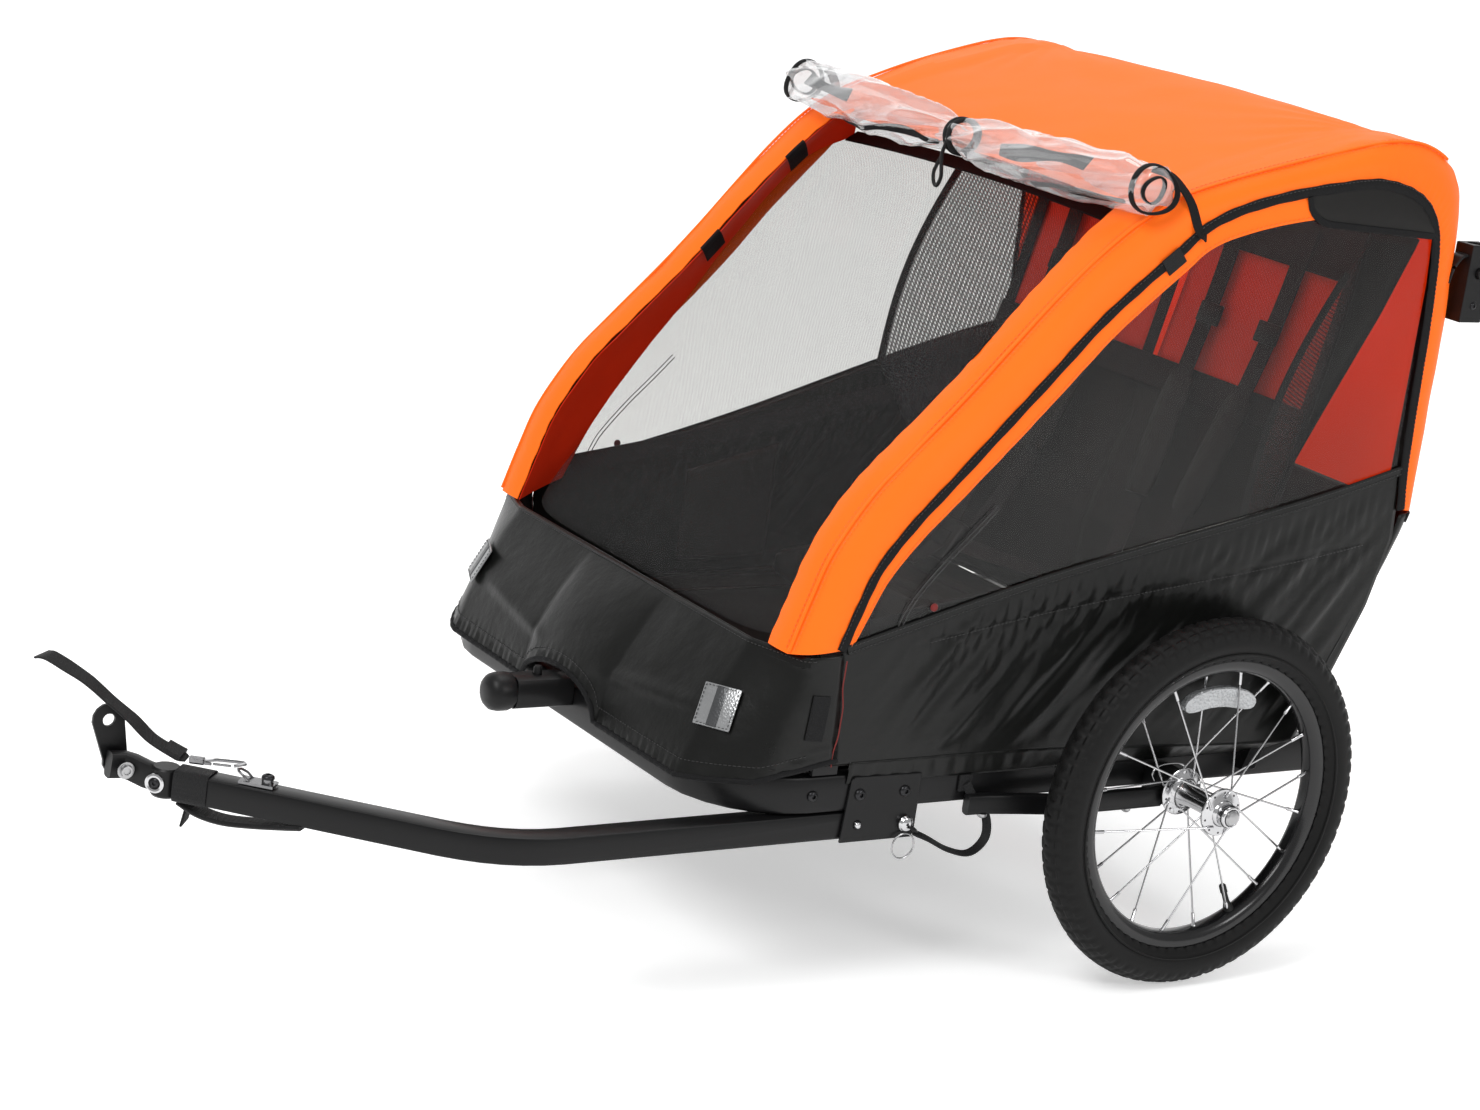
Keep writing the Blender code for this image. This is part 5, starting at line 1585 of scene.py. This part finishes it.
def tyre_shape(sign):
    """Turned casing from bead to bead whose outer band steps up at each tread block."""
    rows = BLOCKS * BLOCK_STEPS
    angle = PI * (np.linspace(0, 1, 41) - 0.5) * 1.62
    sin, cos = np.sin(angle), np.cos(angle)
    size = np.abs(sin)
    phase = (np.arange(rows) % BLOCK_STEPS / BLOCK_STEPS)[:, None]
    lift = np.zeros((rows, len(angle)))
    for low, high, widest, shift, slant, start, end, share in TREAD:
        inside = (low <= size) & (size < high) & (np.abs(angle) < widest)
        place_in_block = (phase + shift * (sin > 0) + slant * size) % 1.0
        raised = inside & (start < place_in_block) & (place_in_block < end)
        lift = np.where(raised, share * BLOCK_HEIGHT, lift)
    x = 0.0225 * sin + lift * sin * 0.6
    radius = np.minimum(0.1770 + 0.0215 * cos + lift * cos, TYRE_RADIUS)
    inner = np.broadcast_to(CASING_INNER, (rows, 4, 2))
    x = np.concatenate([x, inner[..., 0]], 1)
    radius = np.concatenate([radius, inner[..., 1]], 1)
    turn = circle(rows)[:, None]
    verts = points(sign * (WHEEL_X + x), radius * np.cos(turn),
                   AXLE_Z + radius * np.sin(turn))
    return verts, turned(quads(rows, x.shape[1], closed=True))


def tyre_and_rim(side, sign, centre, body):
    make("tyre_tread_" + side, tyre_shape(sign), TYRE, body, sharp=28, replaces="tyre_" + side)
    ribs = [lathe([(x * 0.0212, 0.1660), (x * 0.0224, 0.1668), (x * 0.0222, 0.1682),
                   (x * 0.0210, 0.1686)], centre, (1, 0, 0), 160, closed=True)
            for x in (1, -1)]
    make("tyre_rib_" + side, join(*ribs), TYRE, body)
    make("rim_hoop_" + side, lathe(RIM, centre, (sign, 0, 0), 160, closed=True), RIM_PAINT,
         body, sharp=45, replaces="rim_" + side)


def hub(side, sign, centre, body):
    make("hub_shell_" + side, lathe(HUB, centre, (sign, 0, 0), 64, closed=True), CHROME, body,
         sharp=40, replaces="hub_" + side)
    # dark discs on both faces of each flange stand in for its holes: painted shade
    dots = []
    for flange in (1, -1):
        for k in range(SPOKES_PER_FLANGE):
            turn = 2 * PI * (k + 0.5) / SPOKES_PER_FLANGE
            for x in (0.0334, 0.0296):
                hole = centre + (sign * flange * x, 0.0218 * math.cos(turn),
                                 0.0218 * math.sin(turn))
                dots.append(lathe([(-0.0003, 0.0013), (0.0003, 0.0013)], hole, (1, 0, 0), 10))
    make("hub_hole_shade_" + side, join(*dots), BLACK_BOLT, body, slot="chrome")


def spokes(side, sign, centre, body):
    """Crossed spokes with elbow and head at the flange, and nipples at the rim."""
    wires, nipples = [], []
    for flange in (1, -1):
        for k in range(SPOKES_PER_FLANGE):
            lead = 1 if k % 2 else -1
            outside = sign * flange
            at_rim = 2 * PI * (k + (0.25 if flange > 0 else 0.75)) / SPOKES_PER_FLANGE
            at_hub = at_rim + lead * math.radians(33)
            start = np.array((outside * (0.0346 if lead > 0 else 0.0272),
                              0.0222 * math.cos(at_hub), 0.0222 * math.sin(at_hub)))
            end = np.array((outside * 0.0012,
                            0.1418 * math.cos(at_rim), 0.1418 * math.sin(at_rim)))
            length = np.linalg.norm(end - start)
            way = (end - start) / length
            head_x = -lead * outside
            head = start + (head_x * 0.0050, 0, 0)
            path = smooth_path([head, start + (head_x * 0.0012, 0, 0), start + way * 0.0030,
                                start + way * (length - 0.001)], 5)
            wires.append(tube(centre + path, 0.00105, 8))
            wires.append(lathe([(-0.0006, 0.0016), (0.0, 0.0020), (0.0008, 0.0018)],
                               centre + head, (head_x, 0, 0), 10))
            stations = np.array((-0.0130, -0.0122, -0.0020, 0.0012)) + 0.0005
            nipples.append(tube(centre + end + np.outer(stations, way),
                                [0.0014, 0.0019, 0.0019, 0.0026], 8))
    make("spoke_set_" + side, join(*wires), CHROME, body, sharp=60, replaces="spokes_" + side)
    make("nipples_" + side, join(*nipples), CHROME, body, sharp=60)


def spoke_reflector(side, sign, centre, body):
    """Lozenge reflector clipped between the spokes at the top."""
    count, half_angle = 40, 0.42
    middle, half_height = 0.1155, 0.0105
    turn = np.linspace(PI / 2 - half_angle, PI / 2 + half_angle, count)
    taper = np.sqrt(np.clip(1 - (np.abs(turn - PI / 2) / 0.424) ** 6, 0, 1))
    # x from the wheel's middle, share of the height
    faces_x = [(-0.0042, 0.86), (-0.0030, 1.0), (0.0030, 1.0), (0.0044, 0.88)]
    section = [(x, -share, -1) for x, share in faces_x]
    section += [(x, share, 1) for x, share in reversed(faces_x)]
    rows = []
    for x, share, way in section:
        radius = middle + half_height * share * taper + way * 0.0002
        rows.append(points(centre[0] + sign * x, radius * np.cos(turn),
                           AXLE_Z + radius * np.sin(turn)))
    shape = np.stack(rows, 1), turned(quads(count, 8)) + caps(count, 8)
    make("spoke_reflector_" + side, shape, REFLECTOR, body, sharp=40)


def valve(side, centre, body):
    angle = math.radians(-62)
    outward = np.array((0, math.cos(angle), math.sin(angle)))
    stations = (0.001, -0.004, -0.010, -0.022, -0.0225, -0.031, -0.032)
    path = centre + outward * 0.1425 + np.outer(stations, outward)
    radii = [0.0058, 0.0050, 0.0033, 0.0031, 0.0040, 0.0038, 0.0030]
    make("valve_" + side, tube(path, radii, 14), VALVE_RUBBER, body)


def wheel(side, sign):
    centre = np.array((sign * WHEEL_X, 0.0, AXLE_Z))
    body = "wheel_" + side
    tyre_and_rim(side, sign, centre, body)
    hub(side, sign, centre, body)
    spokes(side, sign, centre, body)
    spoke_reflector(side, sign, centre, body)
    valve(side, centre, body)


both_sides(wheel)


# -------------------------------------------------------------- frame hardware
def bracket_bolts():
    """Bolts through the tow bracket on the L side, and their inner ends."""
    outer = [bolt((0.3128, y, 0.2105), (1, 0, 0), 0.0062) for y in (-0.387, -0.332)]
    outer.append(bolt((0.3093, -0.442, 0.2115), (1, 0, 0), 0.0058))
    make("bracket_bolts", join(*outer), BLACK_BOLT, "root")
    inner = [bolt((0.2769, y, 0.2105), (-1, 0, 0), 0.0062) for y in (-0.387, -0.332)]
    make("bracket_nuts", join(*inner), BLACK_BOLT, "root")


def side_hardware(side, sign):
    """Outrigger bolts, the wire clip over the axle receiver and the hoop's hinge bolt."""
    under = [bolt((sign * x, y, 0.1812), (0, 0, -1), 0.0052, 0.0035)
             for x, y in ((0.3400, -0.062), (0.3210, -0.236))]
    make("outrigger_bolts_" + side, join(*under), STEEL, "root")
    clip = [(-0.0185, 0.205), (-0.0230, 0.2135), (-0.0160, 0.2205), (0.0, 0.2225),
            (0.0160, 0.2205), (0.0230, 0.2135), (0.0185, 0.205)]
    path = with_x(sign * 0.3290, smooth_path(clip, 6))
    make("receiver_clip_" + side, tube(path, 0.0011, 8), CHROME, "root", slot="steel")
    make("hoop_bolt_" + side,
         bolt((sign * 0.3085, -0.430, 0.2470), (sign, 0, 0), 0.0052, 0.0022), BLACK_BOLT, "root")


def pin_lanyard():
    """Webbing lanyard from the lock pin to the rail."""
    path = smooth_path([(0.3235, -0.3230, 0.1700), (0.3290, -0.3080, 0.1640),
                        (0.3300, -0.2800, 0.1500), (0.3270, -0.2500, 0.1430),
                        (0.3220, -0.2280, 0.1560), (0.3190, -0.2300, 0.1800),
                        (0.3170, -0.2480, 0.2000), (0.3135, -0.2560, 0.2130)], 10)
    facing = points(0.25, -0.2, np.linspace(1, 0.2, len(path)))
    make("pin_lanyard", ribbon(path, 0.0095, 0.0022, facing), WEBBING, "root")
    anchor = slab((-0.008, -0.009, -0.0015), (0.008, 0.009, 0.0015), 0.001)
    make("lanyard_anchor", place(anchor, (0.3112, -0.2560, 0.2130),
                                 (0, 1, 0), (0, 0, 1), (1, 0, 0)), WEBBING, "root")
    eye = smooth_path([(0.3235, -0.327, 0.1763), (0.3265, -0.3240, 0.1735),
                       (0.3255, -0.3200, 0.1700)], 6)
    make("pin_lanyard_eye", tube(eye, 0.0024, 8), PLASTIC, "lock_pin")


def handle_socket(side, sign):
    """Screw on a handle socket, and the curved bracket in front of it."""
    make("socket_screws_" + side,
         bolt((sign * 0.3472, 0.2925, 0.722), (sign, 0, 0), 0.0040, 0.0016),
         BLACK_BOLT, "rear_frame")
    yz = smooth_path([(0.2762, 0.775), (0.2690, 0.772), (0.2600, 0.760), (0.2560, 0.745)], 5)
    make("socket_bracket_" + side,
         ribbon(with_x(sign * 0.3345, yz), 0.016, 0.0030, (0, 0.5, 1)), FRAME_PAINT,
         "rear_frame")


bracket_bolts()
both_sides(side_hardware)
pin_lanyard()
both_sides(handle_socket)

# --------------------------------------------------------------- hitch details
ARM_START = np.array((0.2945, -0.775, 0.0))
ARM_END = np.array((0.0745, -1.0045, 0.0))
ARM_WAY = (ARM_END - ARM_START) / np.linalg.norm(ARM_END - ARM_START)
ARM_SIDE = np.array((ARM_WAY[1], -ARM_WAY[0], 0.0))
ARM_HALF = 0.0285 / 2
ARM_TOP = 0.180 + ARM_HALF


def on_arm(back, across, rise):
    """Point back from the arm's end, sideways, and over its top face."""
    spot = (ARM_END - ARM_WAY * np.asarray(back)[..., None]
            + ARM_SIDE * np.asarray(across)[..., None])
    return points(spot[..., 0], spot[..., 1], ARM_TOP + rise)


def arm_sleeve():
    """Woven sleeve that closes the arm's end."""
    rows, columns = 8, 40
    back = np.linspace(-0.004, 0.030, rows)[:, None]
    cos, sin = np.cos(circle(columns)), np.sin(circle(columns))
    square = (np.abs(cos) ** 5 + np.abs(sin) ** 5) ** (-1 / 5)
    outer = on_arm(back, 0.0158 * cos * square, 0.0160 * sin * square - ARM_HALF)
    inner = outer - (outer - on_arm(back, 0.0, -ARM_HALF)) * 0.065
    count = rows * columns
    skin = turned(quads(rows, columns))
    faces = skin + [tuple(i + count for i in reversed(face)) for face in skin]
    last = (rows - 1) * columns
    for i in range(columns):
        j = (i + 1) % columns
        faces.append((last + i, last + j, count + last + j, count + last + i))
        faces.append((j, i, count + i, count + j))
    verts = np.concatenate([outer.reshape(-1, 3), inner.reshape(-1, 3)])
    make("arm_sleeve", (verts, faces), WEBBING, "tow_arm", sharp=50)


def arm_straps():
    """Strap that holds the sleeve underneath, its tab, and the strap anchor's bolt."""
    # back from the arm's end, across it, over its top face
    under = np.array([(0.000, 0.004, -0.0320), (0.020, 0.002, -0.0395),
                      (0.045, 0.0, -0.0420), (0.075, 0.0, -0.0395),
                      (0.105, -0.002, -0.0345), (0.125, -0.004, -0.0305)])
    tab = np.array([(0.006, 0.010, -0.034), (0.004, 0.012, -0.044), (0.001, 0.014, -0.058)])
    path = smooth_path(on_arm(*under.T), 8)
    make("arm_under_strap", ribbon(path, 0.024, 0.0050, (0, 0, 1), 0.4), WEBBING, "tow_arm")
    make("sleeve_tab", ribbon(smooth_path(on_arm(*tab.T), 6), 0.020, 0.0024, ARM_WAY),
         HOOK_AND_LOOP, "tow_arm")
    make("anchor_bolt", bolt(on_arm(0.084, 0, 0.0086), (0, 0, 1), 0.0064, 0.0030), BLACK_BOLT,
         "tow_arm")


def coupler_eyelet():
    """Eyelet and black socket bolt on the outer side of the flexible coupler."""
    start, end = np.array((0.0634, -1.0161, 0.180)), np.array((0.0300, -1.0500, 0.186))
    way = (end - start) * (1, 1, 0)
    way /= np.linalg.norm(way)
    outward = np.array((-way[1], way[0], 0.0))
    centre = start + way * 0.0055 + outward * 0.0136
    ring = [(0.0, 0.0058), (0.0016, 0.0060), (0.0022, 0.0078), (0.0016, 0.0095),
            (0.0, 0.0098)]
    make("coupler_eyelet", lathe(ring, centre, outward, 36, closed=True), CHROME, "coupler")
    make("coupler_screw", bolt(centre + outward * -0.0004, outward, 0.0052, 0.0026),
         BLACK_BOLT, "coupler")


def safety_strap():
    """Strap that rises forward from the arm's end, with a thicker keeper near its start."""
    facing = (0.1, -0.25, 1)
    full_width = 0.0175
    path = smooth_path(np.array([
        on_arm(0.0030, 0.0, 0.0110), on_arm(-0.0060, 0.0, 0.0135),
        (0.0540, -1.0290, 0.2190), (0.0430, -1.0460, 0.2360), (0.0330, -1.0660, 0.2530),
        (0.0220, -1.0840, 0.2690), (0.0100, -1.1010, 0.2800), (-0.0060, -1.1130, 0.2860),
        (-0.0200, -1.1160, 0.2830)]), 10)
    width = full_width + 0.0008 * np.sin(np.linspace(0, 20, len(path)))
    width[:10] = np.linspace(0.010, full_width, 10)
    strap = make("safety_strap_webbing", ribbon(path, width, 0.0022, facing), WEBBING,
                 replaces="safety_strap")
    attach(strap, "tow_arm")
    make("strap_keeper", ribbon(path[6:16] + (0, 0, 0.0022), 0.0200, 0.0052, facing, 0.4),
         WEBBING, "tow_arm")


arm_sleeve()
arm_straps()
coupler_eyelet()
safety_strap()


# ------------------------------------------------------------- stage and light
def stage_material():
    shader = Shader("pale_floor", (0.86, 0.86, 0.86), 0.65, Emission_Color=(1, 1, 1, 1),
                    Emission_Strength=0.42)
    shader.vary(0.015, scale=1.5, spread=0.03)
    return shader.material


def studio_floor():
    """Floor that curves up into a wall behind the trailer."""
    start, bend, bend_radius, top = -8.0, 4.6, 1.2, 7.0
    half_width, drop = 14.0, 0.0006
    section = [(start, 0.0), (bend, 0.0)]
    section += [(bend + bend_radius * math.sin(a), bend_radius - bend_radius * math.cos(a))
                for a in np.linspace(0.1, PI / 2, 12)]
    section.append((bend + bend_radius, top))
    way = np.array((-0.82, 0.57))
    way /= np.linalg.norm(way)
    across = np.array((way[1], -way[0]))
    verts = [(*(way * run + across * width), z - drop)
             for run, z in section for width in (-half_width, half_width)]
    faces = [(2 * i, 2 * i + 1, 2 * i + 3, 2 * i + 2) for i in range(len(section) - 1)]
    make("studio_floor", (verts, faces), stage_material(), sharp=0, shift=False)


def studio_world():
    """White to the camera, half as bright as a light."""
    world = bpy.data.worlds.new("studio")
    scene.world = world
    world.use_nodes = True
    nodes, links = world.node_tree.nodes, world.node_tree.links
    background = nodes["Background"]
    background.inputs["Color"].default_value = (1.0, 1.0, 1.0, 1)
    light_path = nodes.new("ShaderNodeLightPath")
    strength = nodes.new("ShaderNodeMapRange")
    strength.inputs["To Min"].default_value = 0.50
    strength.inputs["To Max"].default_value = 1.0
    links.new(light_path.outputs["Is Camera Ray"], strength.inputs["Value"])
    links.new(strength.outputs["Result"], background.inputs["Strength"])


def area_light(name, location, target, size, power):
    light = bpy.data.lights.new(name, "AREA")
    light.energy = power
    light.shape = "RECTANGLE"
    light.size = size
    light.size_y = size
    lamp = bpy.data.objects.new(name, light)
    scene.collection.objects.link(lamp)
    lamp.location = location
    way = Vector(target) - Vector(location)
    lamp.rotation_euler = way.to_track_quat("-Z", "Y").to_euler()


studio_floor()
studio_world()
area_light("key_light", (1.2, -2.6, 3.4), target=(0, 0.2, 0.4), size=1.5, power=90)
area_light("side_light", (3.6, 1.2, 2.2), target=(0, 0.3, 0.4), size=1.0, power=34)
area_light("top_light", (-0.6, 0.8, 4.0), target=(0, 0.2, 0.4), size=2.0, power=42)


# ---------------------------------------------------------------------- camera
def build_camera():
    location = (2.73835, -2.23732 + AXLE_Y, 1.24324)
    azimuth, elevation = math.radians(57.4507), math.radians(19.0888)
    roll, tilt = math.radians(1.2613), math.radians(7.7)    # tilt turns the view about X
    back = np.array((math.sin(azimuth) * math.cos(elevation),
                     -math.cos(azimuth) * math.cos(elevation), math.sin(elevation)))
    level_right = np.cross(-back, (0, 0, 1.0))
    level_right /= np.linalg.norm(level_right)
    level_up = np.cross(level_right, -back)
    right = math.cos(roll) * level_right + math.sin(roll) * level_up
    up = -math.sin(roll) * level_right + math.cos(roll) * level_up
    matrix = Matrix.Identity(4)
    for column, (x, y, z) in enumerate((right, up, back)):
        matrix[0][column] = x
        matrix[1][column] = y * math.cos(tilt) - z * math.sin(tilt)
        matrix[2][column] = z * math.cos(tilt) + y * math.sin(tilt)
    for row in range(3):
        matrix[row][3] = location[row]
    data = bpy.data.cameras.new("camera")
    data.sensor_width = 36.0
    data.lens = 78.89205405
    camera = bpy.data.objects.new("camera", data)
    scene.collection.objects.link(camera)
    camera.matrix_world = matrix
    scene.camera = camera


build_camera()
scene.view_settings.view_transform = "Standard"
